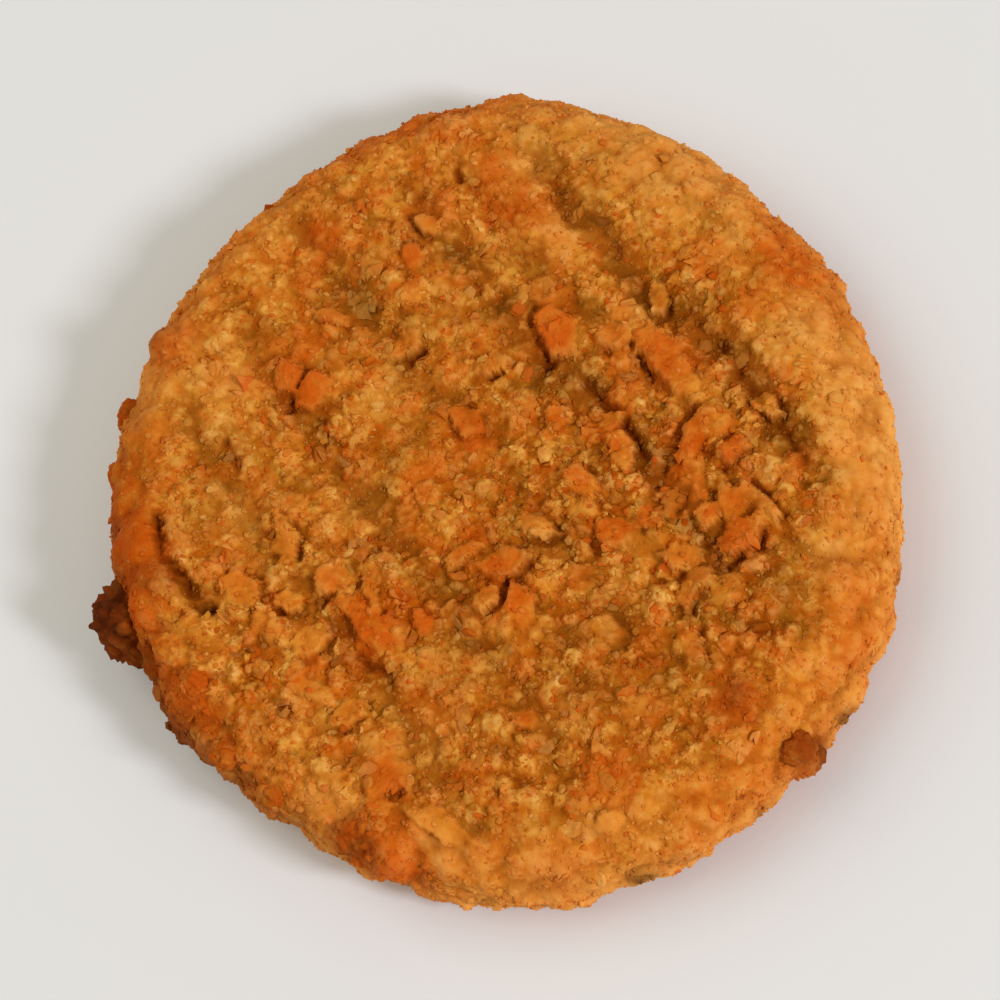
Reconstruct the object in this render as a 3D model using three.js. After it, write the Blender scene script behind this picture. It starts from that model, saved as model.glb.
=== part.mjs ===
// A baked fish patty: an oval cake of minced fish in a browned crumb crust, lying on its flat base.
//
// Frame, in millimetres: +X along the patty's length, which is also the way that the grooves of
// its top run, +Y across it, +Z up. The origin is on the base, under the middle of the patty's box.
//
// The patty is one closed skin. A square grid bent into a disc makes the top and the upper
// shoulder, as far as the widest line. Rings carry the skin on round the lower shoulder, and a flat
// base closes it. The skin is worked out smooth first, and then every point moves along the skin's
// normal by the relief: the sunken middle, grooves, crumb lumps, flakes and the crack beside the
// rim. Places of single features are measured from the middle of the oval.

import * as THREE from "three";

// The oval, at its widest line
const MEAN_RADIUS = 41.0;
const OUTLINE_WAVES = [
  { lobes: 2, height: 2.1, angle: -3.8 },
  { lobes: 3, height: 0.6, angle: 8.4 },
  { lobes: 4, height: 0.3, angle: -30.7 },
  { lobes: 6, height: 0.12, angle: 26 },
];

// The section from the middle to the edge
const THICKNESS = 12.0;
const WIDEST_HEIGHT = 4.6;
const UPPER_SHOULDER = 7.0;
const LOWER_SHOULDER = 4.8;
const MIDDLE_SAG = 0.7;

// The mesh: cells along one side of the square grid, and rings round the lower shoulder
const GRID_CELLS = 64;
const LOWER_RINGS = 3;
const TOP_SHARE = 0.74; // how much of the grid lies on the top, the rest on the upper shoulder

// Grooves that the forming belt left. Each runs along X and steps sideways where the belt slipped.
const GROOVE_HALF_WIDTH = 1.9;
const GROOVE_FADE = 4; // half the length over which a groove runs out at its ends
const GROOVES = [
  { y: 24.0, from: -27, to: 22, depth: 1.1, step: 1.7, stepAt: -2, stepLength: 6 },
  { y: 11.9, from: -32, to: 23, depth: 0.95, step: 1.6, stepAt: -3, stepLength: 4 },
  { y: 17.0, from: -30, to: -4, depth: 0.45, step: 1.2, stepAt: -8, stepLength: 6 },
  { y: 0.7, from: -34, to: 30, depth: 0.55, step: 1.5, stepAt: -12, stepLength: 8 },
  { y: -10.8, from: -34, to: 34, depth: 0.6, step: 0.8, stepAt: 4, stepLength: 8 },
  { y: -20.6, from: -27, to: 28, depth: 0.5, step: 0.8, stepAt: 0, stepLength: 8 },
];

// Flakes of crust that stand up: place, half length, half width, height, and the way they point
const FLAKES = [
  { x: 10.2, y: 18.0, length: 2.6, width: 1.4, height: 0.8, turn: -55 },
  { x: 19.8, y: 19.6, length: 2.7, width: 0.9, height: 0.9, turn: 12 },
  { x: 21.4, y: 16.4, length: 2.5, width: 1.8, height: 0.9, turn: 100 },
  { x: 18.2, y: 17.6, length: 2.1, width: 1.3, height: 0.6, turn: 20 },
  { x: 23.2, y: 9.9, length: 2.1, width: 1.4, height: 0.8, turn: -65 },
  { x: 20.0, y: 10.6, length: 2.2, width: 1.6, height: 0.6, turn: 20 },
  { x: 6.2, y: 11.6, length: 2.6, width: 1.5, height: 0.8, turn: -10 },
  { x: 6.8, y: 7.1, length: 2.0, width: 1.2, height: 0.7, turn: 10 },
  { x: 13.4, y: 6.6, length: 2.1, width: 1.8, height: 0.6, turn: 40 },
  { x: 8.0, y: 0.8, length: 1.9, width: 1.2, height: 0.8, turn: 25 },
  { x: -9.3, y: 6.6, length: 2.0, width: 1.1, height: 0.7, turn: 60 },
  { x: -6.0, y: 1.2, length: 1.9, width: 1.6, height: 0.6, turn: 0 },
  { x: -8.3, y: 13.5, length: 3.0, width: 2.0, height: 0.7, turn: 5 },
  { x: 1.0, y: 20.4, length: 4.6, width: 1.7, height: 0.8, turn: 0 },
  { x: -4.0, y: 17.8, length: 2.0, width: 1.6, height: 0.6, turn: 70 },
  { x: 9.2, y: -3.6, length: 2.3, width: 2.0, height: 0.9, turn: 70 },
  { x: 14.2, y: -4.9, length: 2.5, width: 1.4, height: 0.8, turn: -10 },
  { x: 6.4, y: -17.8, length: 3.4, width: 1.5, height: 0.5, turn: 5 },
  { x: 0.0, y: -18.2, length: 1.9, width: 1.7, height: 0.5, turn: 45 },
  { x: -6.4, y: -19.9, length: 2.5, width: 1.1, height: 0.6, turn: -15 },
  { x: -4.4, y: -26.0, length: 2.3, width: 1.6, height: 0.5, turn: 0 },
  { x: 13.2, y: -24.0, length: 1.9, width: 1.6, height: 0.5, turn: 70 },
  { x: 21.1, y: -24.6, length: 2.4, width: 1.9, height: 0.6, turn: 100 },
  { x: 28.4, y: -22.7, length: 3.4, width: 1.2, height: 0.6, turn: 20 },
  { x: -16.9, y: 0.7, length: 1.7, width: 1.4, height: 0.6, turn: 80 },
  { x: -21.5, y: -10.9, length: 2.0, width: 1.5, height: 0.6, turn: -10 },
  { x: -18.5, y: -9.2, length: 2.1, width: 1.4, height: 0.9, turn: -60 },
];

// The crack behind the smooth lip of the rim, as the points of its middle line
const CRACK = [
  [-17.0, -29.2],
  [-15.2, -30.0],
  [-12.3, -30.6],
  [-8.1, -30.3],
  [-5.0, -30.0],
];
const CRACK_HALF_WIDTH = 1.1;
const CRACK_DEPTH = 1.8;

// Round lumps on the rim: place, radius and height
const RIM_LUMPS = [
  { x: -3.8, y: -35.4, radius: 2.1, height: 0.9 },
  { x: 0.9, y: -34.8, radius: 2.0, height: 0.8 },
  { x: 25.8, y: -29.0, radius: 4.2, height: 1.5 },
  { x: -9.6, y: -33.8, radius: 3.6, height: 0.8 },
  { x: -16.6, y: -33.4, radius: 3.4, height: 0.7 },
  { x: -33.8, y: -19.4, radius: 2.1, height: 0.8 },
  { x: -30.8, y: -26.6, radius: 1.9, height: 0.8 },
  { x: -25.2, y: -30.6, radius: 1.8, height: 0.6 },
  { x: 8.0, y: -36.6, radius: 1.8, height: 0.8 },
  { x: 14.4, y: -35.0, radius: 1.7, height: 0.8 },
  { x: 42.6, y: 9.3, radius: 2.0, height: 1.2 },
  { x: 42.6, y: -3.2, radius: 3.6, height: 1.1 },
  { x: 39.6, y: 16.2, radius: 3.0, height: 0.6 },
  { x: -41.6, y: 9.8, radius: 3.4, height: 0.8 },
  { x: -42.4, y: -3.2, radius: 3.0, height: 0.7 },
  { x: -39.0, y: -15.8, radius: 3.0, height: 0.5 },
];

// The burnt knob that stands out of the rim, close to the base. Its top slopes back to the rim.
const KNOB_ANGLE = -108.4;
const KNOB_HALF_WIDTH = 3.4;
const KNOB_REACH = 4.0;
const KNOB_TOP = 8.2;
const KNOB_SLOPE_START = 4.2;

// Crumb lumps that cover the whole skin, smallest to largest, and the seed of their places
const CRUMB_SEED = 20;
const CRUMBS = [
  { count: 600, radius: 2.3, height: 0.45 },
  { count: 130, radius: 3.2, height: 0.4 },
  { count: 30, radius: 6.5, height: 0.5 },
];
const RIM_CRAGS = { count: 120, radius: 1.9, height: 0.25 };
const CRUMB_SHIFT = 0.9; // how far a crumb may lie from its even place, as a share of its radius
const CRUMB_BED = 0.75; // how far the smooth skin sinks, so that the crumbs' tops reach its old place

const CRUST_COLOUR = 0xb8702c;
const CRUST_ROUGHNESS = 0.85;

const DEGREE = Math.PI / 180;
const SPIRAL_STEP = Math.PI * (3 - Math.sqrt(5)); // the golden angle, which spreads points evenly

// Random numbers from 0 to 1 that come out the same every time
function makeRandom(seed) {
  let state = seed;
  return () => {
    state = (state * 1664525 + 1013904223) % 4294967296;
    return state / 4294967296;
  };
}

function clamp(value, low, high) {
  return Math.min(Math.max(value, low), high);
}

// Rises smoothly from 0 to 1 while value goes from low to high
function smoothStep(low, high, value) {
  const share = clamp((value - low) / (high - low), 0, 1);
  return share * share * (3 - 2 * share);
}

// Distance from the middle of the oval to the widest line, at an angle in radians
function outlineRadius(angle) {
  let radius = MEAN_RADIUS;
  for (const wave of OUTLINE_WAVES) {
    radius += wave.height * Math.cos(wave.lobes * (angle - wave.angle * DEGREE));
  }
  return radius;
}

// A point of the smooth skin and its normal. The band runs from 0 in the middle to 1 where the
// top ends, 2 at the widest line and 3 on the base.
function skinPoint(band, angle) {
  const edge = outlineRadius(angle);
  const upperRise = THICKNESS - WIDEST_HEIGHT;
  let radius = band * (edge - UPPER_SHOULDER);
  let height = THICKNESS;
  let outward = 0;
  let upward = 1;
  if (band > 2) {
    const turn = ((band - 2) * Math.PI) / 2;
    radius = edge - LOWER_SHOULDER * (1 - Math.cos(turn));
    height = WIDEST_HEIGHT * (1 - Math.sin(turn));
    outward = WIDEST_HEIGHT * Math.cos(turn);
    upward = -LOWER_SHOULDER * Math.sin(turn);
  } else if (band > 1) {
    const turn = ((band - 1) * Math.PI) / 2;
    radius = edge - UPPER_SHOULDER * (1 - Math.sin(turn));
    height = WIDEST_HEIGHT + upperRise * Math.cos(turn);
    outward = upperRise * Math.sin(turn);
    upward = UPPER_SHOULDER * Math.cos(turn);
  }
  const point = new THREE.Vector3(radius * Math.cos(angle), radius * Math.sin(angle), height);
  const normal = new THREE.Vector3(outward * Math.cos(angle), outward * Math.sin(angle), upward);
  return { point, normal: normal.normalize(), band, angle };
}

// The place on the skin over a point of the plane, found through the section's own formula
function skinOver(x, y) {
  const angle = Math.atan2(y, x);
  const radius = Math.hypot(x, y);
  const edge = outlineRadius(angle);
  const flat = edge - UPPER_SHOULDER;
  if (radius < flat) {
    return skinPoint(radius / flat, angle);
  }
  const turn = Math.asin(clamp((radius - flat) / UPPER_SHOULDER, 0, 1));
  return skinPoint(1 + turn / (Math.PI / 2), angle);
}

// The distance from a point of the plane to a line with corners
function distanceToLine(x, y, corners) {
  let nearest = Infinity;
  for (let i = 1; i < corners.length; i += 1) {
    const [startX, startY] = corners[i - 1];
    const alongX = corners[i][0] - startX;
    const alongY = corners[i][1] - startY;
    const share = ((x - startX) * alongX + (y - startY) * alongY) / (alongX ** 2 + alongY ** 2);
    const reach = clamp(share, 0, 1);
    nearest = Math.min(nearest, Math.hypot(x - startX - reach * alongX, y - startY - reach * alongY));
  }
  return nearest;
}

// How deep the grooves cut at a point of the plane
function grooveDepth(x, y) {
  let depth = 0;
  for (const groove of GROOVES) {
    const middle = groove.y + groove.step * Math.tanh((x - groove.stepAt) / groove.stepLength);
    const across = (y - middle) / GROOVE_HALF_WIDTH;
    const started = smoothStep(groove.from - GROOVE_FADE, groove.from + GROOVE_FADE, x);
    const unfinished = smoothStep(groove.to + GROOVE_FADE, groove.to - GROOVE_FADE, x);
    depth = Math.max(depth, groove.depth * started * unfinished * Math.exp(-across * across));
  }
  return depth;
}

// How high the flakes stand at a point of the plane: flat on top, with a steep side
function flakeHeight(x, y) {
  let height = 0;
  for (const flake of FLAKES) {
    const cosine = Math.cos(flake.turn * DEGREE);
    const sine = Math.sin(flake.turn * DEGREE);
    const along = ((x - flake.x) * cosine + (y - flake.y) * sine) / flake.length;
    const across = ((y - flake.y) * cosine - (x - flake.x) * sine) / flake.width;
    height = Math.max(height, flake.height * smoothStep(1.35, 0.75, Math.hypot(along, across)));
  }
  return height;
}

// Round bumps over the skin between two bands, spread evenly along a spiral and then shifted
function scatterBumps({ count, radius, height }, lowBand, highBand, random) {
  const bumps = [];
  for (let i = 0; i < count; i += 1) {
    const spread = THREE.MathUtils.lerp(lowBand ** 2, highBand ** 2, (i + 0.5) / count);
    const centre = skinPoint(Math.sqrt(spread), i * SPIRAL_STEP).point;
    const shift = new THREE.Vector3(random() - 0.5, random() - 0.5, random() - 0.5);
    centre.addScaledVector(shift, 2 * CRUMB_SHIFT * radius);
    const size = 0.75 + 0.5 * random();
    bumps.push({ centre, radius: radius * size, height: height * (0.5 + random()) });
  }
  return bumps;
}

// How high the bumps stand at a point of the skin. Bumps that overlap don't pile up.
function bumpHeight(point, bumps) {
  let height = 0;
  for (const bump of bumps) {
    const reach = point.distanceToSquared(bump.centre) / bump.radius ** 2;
    if (reach < 1) {
      height = Math.max(height, bump.height * (1 - reach));
    }
  }
  return height;
}

// All the bumps of the crust, one list for each kind, so that small ones ride on large ones
function makeCrust() {
  const random = makeRandom(CRUMB_SEED);
  const layers = CRUMBS.map((kind) => scatterBumps(kind, 0, 2.4, random));
  layers.push(scatterBumps(RIM_CRAGS, 1.5, 2.7, random));
  layers.push(RIM_LUMPS.map((lump) => ({ ...lump, centre: skinOver(lump.x, lump.y).point })));
  return layers;
}

// The skin's relief at one of its points, before it fades out towards the base
function relief({ point, band }, layers) {
  const onTop = smoothStep(1.6, 0.9, band);
  const crack = Math.exp(-((distanceToLine(point.x, point.y, CRACK) / CRACK_HALF_WIDTH) ** 2));
  let height = -MIDDLE_SAG * smoothStep(1.1, 0.3, band);
  height -= onTop * grooveDepth(point.x, point.y);
  height += onTop * flakeHeight(point.x, point.y);
  height -= CRACK_DEPTH * crack * smoothStep(2, 1.6, band);
  for (const bumps of layers) {
    height += bumpHeight(point, bumps);
  }
  return height;
}

// How far the burnt knob pushes the skin outwards
function knobPush({ point, angle }) {
  const away = angle - KNOB_ANGLE * DEGREE;
  const turn = Math.atan2(Math.sin(away), Math.cos(away));
  const along = Math.abs(turn * outlineRadius(angle)) / KNOB_HALF_WIDTH;
  return KNOB_REACH * smoothStep(1.5, 0.3, along) * smoothStep(KNOB_TOP, KNOB_SLOPE_START, point.z);
}

// A finished point of the skin. Near the base the relief only moves points sideways, so the base
// stays flat.
function crustPoint(band, angle, layers) {
  const place = skinPoint(band, angle);
  const height = relief(place, layers) - CRUMB_BED;
  const finished = place.point.clone().addScaledVector(place.normal, height);
  const push = knobPush(place);
  finished.x += push * Math.cos(angle);
  finished.y += push * Math.sin(angle);
  finished.z = THREE.MathUtils.lerp(place.point.z, finished.z, smoothStep(3, 2.3, band));
  return finished;
}

// The ring and angle of a crossing of the square grid, bent into a disc with even cells
function discPlace(column, row) {
  const half = GRID_CELLS / 2;
  const across = column - half;
  const along = row - half;
  const ring = Math.max(Math.abs(across), Math.abs(along));
  if (ring === 0) {
    return { ring, angle: 0 };
  }
  if (Math.abs(across) > Math.abs(along)) {
    const angle = (Math.PI / 4) * (along / across);
    return { ring, angle: across > 0 ? angle : angle + Math.PI };
  }
  const angle = Math.PI / 2 - (Math.PI / 4) * (across / along);
  return { ring, angle: along > 0 ? angle : angle + Math.PI };
}

// The band of the skin that a ring of the grid lies on
function bandOfRing(ring) {
  const share = ring / (GRID_CELLS / 2);
  return share < TOP_SHARE ? share / TOP_SHARE : 1 + (share - TOP_SHARE) / (1 - TOP_SHARE);
}

// The grid's crossings along its border, anticlockwise from above, as [column, row]
function borderCrossings() {
  const steps = [...Array(GRID_CELLS).keys()];
  return [
    ...steps.map((step) => [step, 0]),
    ...steps.map((step) => [GRID_CELLS, step]),
    ...steps.map((step) => [GRID_CELLS - step, GRID_CELLS]),
    ...steps.map((step) => [0, GRID_CELLS - step]),
  ];
}

// The patty's closed skin as one geometry, with the origin under the middle of its box
function makePattyGeometry() {
  const layers = makeCrust();
  const points = [];
  const triangles = [];
  const indexOf = (column, row) => row * (GRID_CELLS + 1) + column;

  for (let row = 0; row <= GRID_CELLS; row += 1) {
    for (let column = 0; column <= GRID_CELLS; column += 1) {
      const { ring, angle } = discPlace(column, row);
      points.push(crustPoint(bandOfRing(ring), angle, layers));
    }
  }
  for (let row = 0; row < GRID_CELLS; row += 1) {
    for (let column = 0; column < GRID_CELLS; column += 1) {
      const corner = indexOf(column, row);
      const right = indexOf(column + 1, row);
      const far = indexOf(column, row + 1);
      const opposite = indexOf(column + 1, row + 1);
      const slopesUp = (column < GRID_CELLS / 2) === (row < GRID_CELLS / 2);
      if (slopesUp) {
        triangles.push(corner, right, opposite, corner, opposite, far);
      } else {
        triangles.push(corner, right, far, right, opposite, far);
      }
    }
  }

  const border = borderCrossings();
  let upper = border.map(([column, row]) => indexOf(column, row));
  for (let ring = 1; ring <= LOWER_RINGS; ring += 1) {
    const lower = border.map(([column, row]) => {
      points.push(crustPoint(2 + ring / LOWER_RINGS, discPlace(column, row).angle, layers));
      return points.length - 1;
    });
    for (let i = 0; i < border.length; i += 1) {
      const next = (i + 1) % border.length;
      triangles.push(upper[i], lower[i], lower[next], upper[i], lower[next], upper[next]);
    }
    upper = lower;
  }
  points.push(new THREE.Vector3(0, 0, 0));
  const baseMiddle = points.length - 1;
  for (let i = 0; i < border.length; i += 1) {
    triangles.push(baseMiddle, upper[(i + 1) % border.length], upper[i]);
  }

  const geometry = new THREE.BufferGeometry().setFromPoints(points);
  geometry.setIndex(triangles);
  geometry.computeBoundingBox();
  const middle = geometry.boundingBox.getCenter(new THREE.Vector3());
  geometry.translate(-middle.x, -middle.y, -geometry.boundingBox.min.z);
  geometry.computeVertexNormals();
  return geometry;
}

function makePatty() {
  const crust = new THREE.MeshStandardMaterial({
    color: CRUST_COLOUR,
    roughness: CRUST_ROUGHNESS,
    metalness: 0,
  });
  const patty = new THREE.Mesh(makePattyGeometry(), crust);
  patty.name = "patty";
  return patty;
}

const model = new THREE.Group();
model.add(makePatty());

export default model;
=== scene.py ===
"""A baked fish patty: an oval cake of minced fish in a browned crumb crust, lying on its base.

The patty is one body of crust with loose crumbs, flakes and burnt bits baked onto it. Lengths are
in millimetres until a mesh is made. Places of single features are measured from the middle of the
oval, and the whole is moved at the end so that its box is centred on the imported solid's box.

A point of the skin has a band and an angle: the band runs from 0 in the middle of the top to 1
where the top ends, 2 at the widest line, 3 where the base starts and 4 in the middle of the base.
"""

import bpy
import numpy as np
from mathutils import Matrix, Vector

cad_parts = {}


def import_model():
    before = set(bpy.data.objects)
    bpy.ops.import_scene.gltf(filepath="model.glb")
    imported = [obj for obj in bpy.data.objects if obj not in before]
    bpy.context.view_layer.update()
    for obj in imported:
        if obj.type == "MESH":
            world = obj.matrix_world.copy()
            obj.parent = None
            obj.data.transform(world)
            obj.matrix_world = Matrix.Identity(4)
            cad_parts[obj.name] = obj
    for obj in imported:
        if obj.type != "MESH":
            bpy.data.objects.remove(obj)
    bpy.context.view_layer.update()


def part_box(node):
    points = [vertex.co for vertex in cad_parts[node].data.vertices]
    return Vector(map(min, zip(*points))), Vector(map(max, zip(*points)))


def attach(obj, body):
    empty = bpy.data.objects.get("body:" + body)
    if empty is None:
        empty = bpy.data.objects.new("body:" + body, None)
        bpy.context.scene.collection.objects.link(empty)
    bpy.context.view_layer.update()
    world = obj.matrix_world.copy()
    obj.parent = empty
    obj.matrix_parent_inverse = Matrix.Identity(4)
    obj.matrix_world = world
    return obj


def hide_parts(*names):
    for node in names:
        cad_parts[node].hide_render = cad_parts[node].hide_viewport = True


MM = 0.001
TAU = 2 * np.pi

# The oval, at its widest line: lobes, height of the wave, and the angle of its first crest
MEAN_RADIUS = 41.0
OUTLINE_WAVES = [(2, 2.1, -3.8), (3, 0.6, 8.4), (4, 0.3, -30.7), (6, 0.12, 26)]

# The section from the middle to the edge
THICKNESS = 12.0
WIDEST_HEIGHT = 4.6
UPPER_SHOULDER = 7.0
LOWER_SHOULDER = 4.8
MIDDLE_SAG = 0.7
BASE_LIFT = 0.3  # how far the body of the base stays above the floor, which crumbs fill

# The mesh of the body: cells along the side of the top's square grid, rings round the lower
# shoulder, cells along the side of the base's grid, and the share of the grid on the flat top
TOP_CELLS = 272
LOWER_RINGS = 12
BASE_CELLS = 68
TOP_SHARE = 0.74

# The body's flat map: lengths along the skin from its middle to bands 0, 1, 2 and 3, then the
# middle, the same across and up, and the radius of the top's disc and of the base's
SKIN_LENGTHS = [0, 34, 45, 52]
FLAT_DISCS = [(0.385, 0.38), (0.84, 0.155)]

# Grooves along X: middle line's y, start, end, depth, and the place and length of its side step
GROOVE_HALF_WIDTH = 1.9
GROOVE_FADE = 4
GROOVES = [
    dict(y=24.0, start=-27, end=22, depth=1.1, step=1.7, step_at=-2, step_length=6),
    dict(y=11.9, start=-32, end=23, depth=0.95, step=1.6, step_at=-3, step_length=4),
    dict(y=17.0, start=-30, end=-4, depth=0.45, step=1.2, step_at=-8, step_length=6),
    dict(y=0.7, start=-34, end=30, depth=0.55, step=1.5, step_at=-12, step_length=8),
    dict(y=-10.8, start=-34, end=34, depth=0.6, step=0.8, step_at=4, step_length=8),
    dict(y=-20.6, start=-27, end=28, depth=0.5, step=0.8, step_at=0, step_length=8),
]

# Flakes of crust that stand up: x, y, half length, half width, height and turn in degrees, how red
# they are from 0 to 1, and the side in degrees that is lifted off the crust
FLAKES = [
    (10.2, 18.0, 2.6, 1.4, 0.8, -55, 0.8, -150),
    (13.6, 20.3, 1.7, 1.3, 0.7, 80, 0.8, 0),
    (19.8, 19.6, 2.7, 0.9, 0.9, 12, 0.5, 95),
    (21.4, 16.4, 2.5, 1.8, 0.9, 100, 0.9, 0),
    (18.2, 17.6, 2.1, 1.3, 0.6, 20, 0.6, 180),
    (17.6, 15.0, 1.5, 1.1, 0.7, -40, 0.8, -120),
    (23.2, 9.9, 2.1, 1.4, 0.8, -65, 0.6, 20),
    (28.0, 6.3, 1.9, 1.1, 0.7, -20, 0.7, 60),
    (20.0, 10.6, 2.2, 1.6, 0.6, 20, 0.1, -90),
    (3.0, 12.6, 1.2, 1.1, 0.7, 0, 0.3, 90),
    (6.2, 11.6, 2.6, 1.5, 0.8, -10, 0.3, 95),
    (6.8, 7.1, 2.0, 1.2, 0.7, 10, 0.8, 150),
    (13.4, 6.6, 2.1, 1.8, 0.6, 40, 0.9, -60),
    (8.0, 0.8, 1.9, 1.2, 0.8, 25, 0.3, 0),
    (-0.4, 8.7, 1.5, 1.3, 0.6, 30, 1.0, 120),
    (-9.3, 6.6, 2.0, 1.1, 0.7, 60, 0.4, 0),
    (-6.0, 1.2, 1.9, 1.6, 0.6, 0, 0.9, -50),
    (-8.3, 13.5, 3.0, 2.0, 0.7, 5, 1.0, -90),
    (1.0, 20.4, 4.6, 1.7, 0.8, 0, 0.5, -95),
    (-4.0, 17.8, 2.0, 1.6, 0.6, 70, 0.4, -30),
    (9.2, -3.6, 2.3, 2.0, 0.9, 70, 0.6, 30),
    (14.2, -4.9, 2.5, 1.4, 0.8, -10, 0.9, 170),
    (11.6, -7.1, 1.8, 1.1, 0.8, -60, 0.2, -20),
    (5.8, -6.6, 2.0, 1.0, 0.6, 95, 0.4, 0),
    (3.4, -15.6, 2.6, 0.8, 0.49, -18, 0.2, -80),
    (9.4, -13.4, 1.4, 1.1, 0.42, 0, 1.0, 180),
    (6.4, -17.8, 3.4, 1.5, 0.42, 5, 0.9, -90),
    (0.0, -18.2, 1.9, 1.7, 0.42, 45, 0.6, -90),
    (-6.4, -19.9, 2.5, 1.1, 0.56, -15, 0.2, 90),
    (-0.6, -22.8, 1.5, 1.2, 0.56, 0, 0.1, -60),
    (4.3, -23.3, 1.9, 1.5, 0.42, 80, 0.1, -20),
    (-4.4, -26.0, 2.3, 1.6, 0.42, 0, 0.3, 100),
    (0.4, -26.0, 2.2, 1.3, 0.42, 0, 0.4, 120),
    (13.2, -24.0, 1.9, 1.6, 0.49, 70, 0.4, 0),
    (8.8, -25.8, 2.6, 1.0, 0.42, 22, 0.2, -60),
    (21.1, -24.6, 2.4, 1.9, 0.63, 100, 0.7, -30),
    (23.0, -26.3, 1.5, 1.1, 0.49, 30, 0.2, -90),
    (28.4, -22.7, 3.4, 1.2, 0.56, 20, 0.1, -70),
    (38.2, -9.5, 1.2, 1.1, 0.6, 90, 0.0, 180),
    (24.2, -10.7, 1.5, 0.9, 0.42, 35, 0.9, -60),
    (11.4, 25.6, 1.7, 1.0, 1.0, 5, 0.2, 0),
    (-5.0, 23.5, 1.8, 1.1, 0.8, -35, 0.3, -60),
    (-26.6, 9.5, 1.8, 0.9, 0.7, 25, 0.5, -100),
    (-24.8, 6.2, 1.7, 1.0, 0.6, -20, 0.9, 100),
    (-16.9, 0.7, 1.7, 1.4, 0.6, 80, 0.6, 0),
    (-21.5, -10.9, 2.0, 1.5, 0.63, -10, 0.9, 40),
    (-18.5, -9.2, 2.1, 1.4, 0.9, -60, 0.9, -140),
    (-24.1, -3.8, 1.8, 0.8, 0.6, 45, 0.6, -60),
]
FLAKE_SEED = 5

# The crack behind the smooth lip of the rim
CRACK = [(-17.0, -29.2), (-15.2, -30.0), (-12.3, -30.6), (-8.1, -30.3), (-5.0, -30.0)]
CRACK_HALF_WIDTH = 0.8
CRACK_DEPTH = 1.8

# Thin splits in the crust, each a line with corners
SPLITS = [
    [(3.0, 25.7), (6.0, 25.6), (9.2, 25.4)],
    [(14.0, 25.7), (18.8, 25.3)],
    [(-2.2, 13.0), (0.4, 12.8), (2.3, 13.5)],
    [(3.8, 13.9), (6.0, 13.3), (8.4, 13.4)],
    [(-7.0, 11.3), (-5.5, 10.2), (-4.8, 8.8)],
    [(-2.3, 19.1), (0.3, 18.9), (1.6, 18.2), (3.4, 18.0)],
    [(7.8, 19.8), (9.0, 17.4), (10.6, 16.1)],
    [(14.7, 21.6), (14.5, 18.9)],
    [(17.2, 20.1), (19.5, 20.6), (22.3, 20.9)],
    [(23.1, 17.6), (23.2, 13.8)],
    [(-12.2, 13.1), (-10.9, 12.0)],
    [(-8.1, 8.2), (-8.4, 5.6)],
    [(-15.1, 2.0), (-15.0, -0.9)],
    [(-30.3, 15.3), (-30.0, 14.8), (-29.0, 14.6)],
    [(-21.3, -9.2), (-20.5, -8.9), (-19.5, -9.9), (-18.8, -11.2), (-18.3, -12.4)],
    [(-9.2, -19.3), (-7.5, -18.6), (-5.5, -19.0), (-3.8, -19.7)],
    [(-19.6, -19.3), (-16.0, -19.9)],
    [(-2.0, -23.5), (0.0, -24.2)],
    [(8.4, -20.1), (10.5, -19.5), (12.0, -18.9)],
]
SPLIT_HALF_WIDTH = 0.45
SPLIT_DEPTH = 0.5

# Round lumps on the rim: x, y, radius and height
RIM_LUMPS = [
    (-3.8, -35.4, 2.1, 0.9),
    (0.9, -34.8, 2.0, 0.8),
    (25.8, -29.0, 4.2, 1.5),
    (-9.6, -33.8, 3.6, 0.8),
    (-16.6, -33.4, 3.4, 0.7),
    (-33.8, -19.4, 2.1, 0.8),
    (-30.8, -26.6, 1.9, 0.8),
    (-25.2, -30.6, 1.8, 0.6),
    (8.0, -36.6, 1.8, 0.8),
    (14.4, -35.0, 1.7, 0.8),
    (42.6, 9.3, 2.0, 1.2),
    (42.6, -3.2, 3.6, 1.1),
    (39.6, 16.2, 3.0, 0.6),
    (-41.6, 9.8, 3.4, 0.8),
    (-42.4, -3.2, 3.0, 0.7),
    (-39.0, -15.8, 3.0, 0.5),
]

# Balls of crust stuck on the rim, the burnt knob first: where on the skin, how far below that, half
# sizes along the rim, across it and outwards, how far they stand out, how toasted and how burnt
LUMPS = [
    ((-12.0, -37.8), 0.5, (4.0, 3.6, 3.8), 3.2, 1.0, 0.78),
    ((25.4, -29.0), 0, (3.4, 2.9, 2.4), 1.5, 1.0, 0.15),
    ((-3.8, -35.4), 0, (1.7, 1.5, 1.4), 1.2, 0.4, 0.0),
    ((0.9, -34.8), 0, (1.6, 1.5, 1.3), 1.1, 0.9, 0.1),
    ((-33.8, -19.4), 0, (1.6, 1.4, 1.3), 0.7, 1.0, 0.3),
    ((-30.8, -26.6), 0, (1.9, 1.4, 1.3), 0.8, 1.0, 0.2),
    ((-25.2, -30.6), 0, (1.4, 1.2, 1.1), 0.5, 0.9, 0.2),
    ((41.5, 9.0), 0, (1.8, 1.6, 1.4), 1.1, 1.0, 0.45),
    ((42.4, 9.8), 0, (1.6, 1.3, 1.2), 0.7, 1.0, 0.75),
    ((-9.6, -38.4), 0.9, (2.6, 2.2, 2.2), 1.5, 1.0, 0.8),
    ((-5.2, -37.6), 1.4, (2.2, 1.7, 1.6), 0.9, 1.0, 0.6),
    ((8.0, -36.6), 0, (1.7, 1.4, 1.2), 0.9, 0.8, 0.1),
    ((14.4, -35.0), 0, (1.6, 1.4, 1.2), 0.8, 0.7, 0.1),
]
LUMP_CELLS = 36
LUMP_RINGS = 6
LUMP_TOP_SHARE = 0.5

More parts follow.
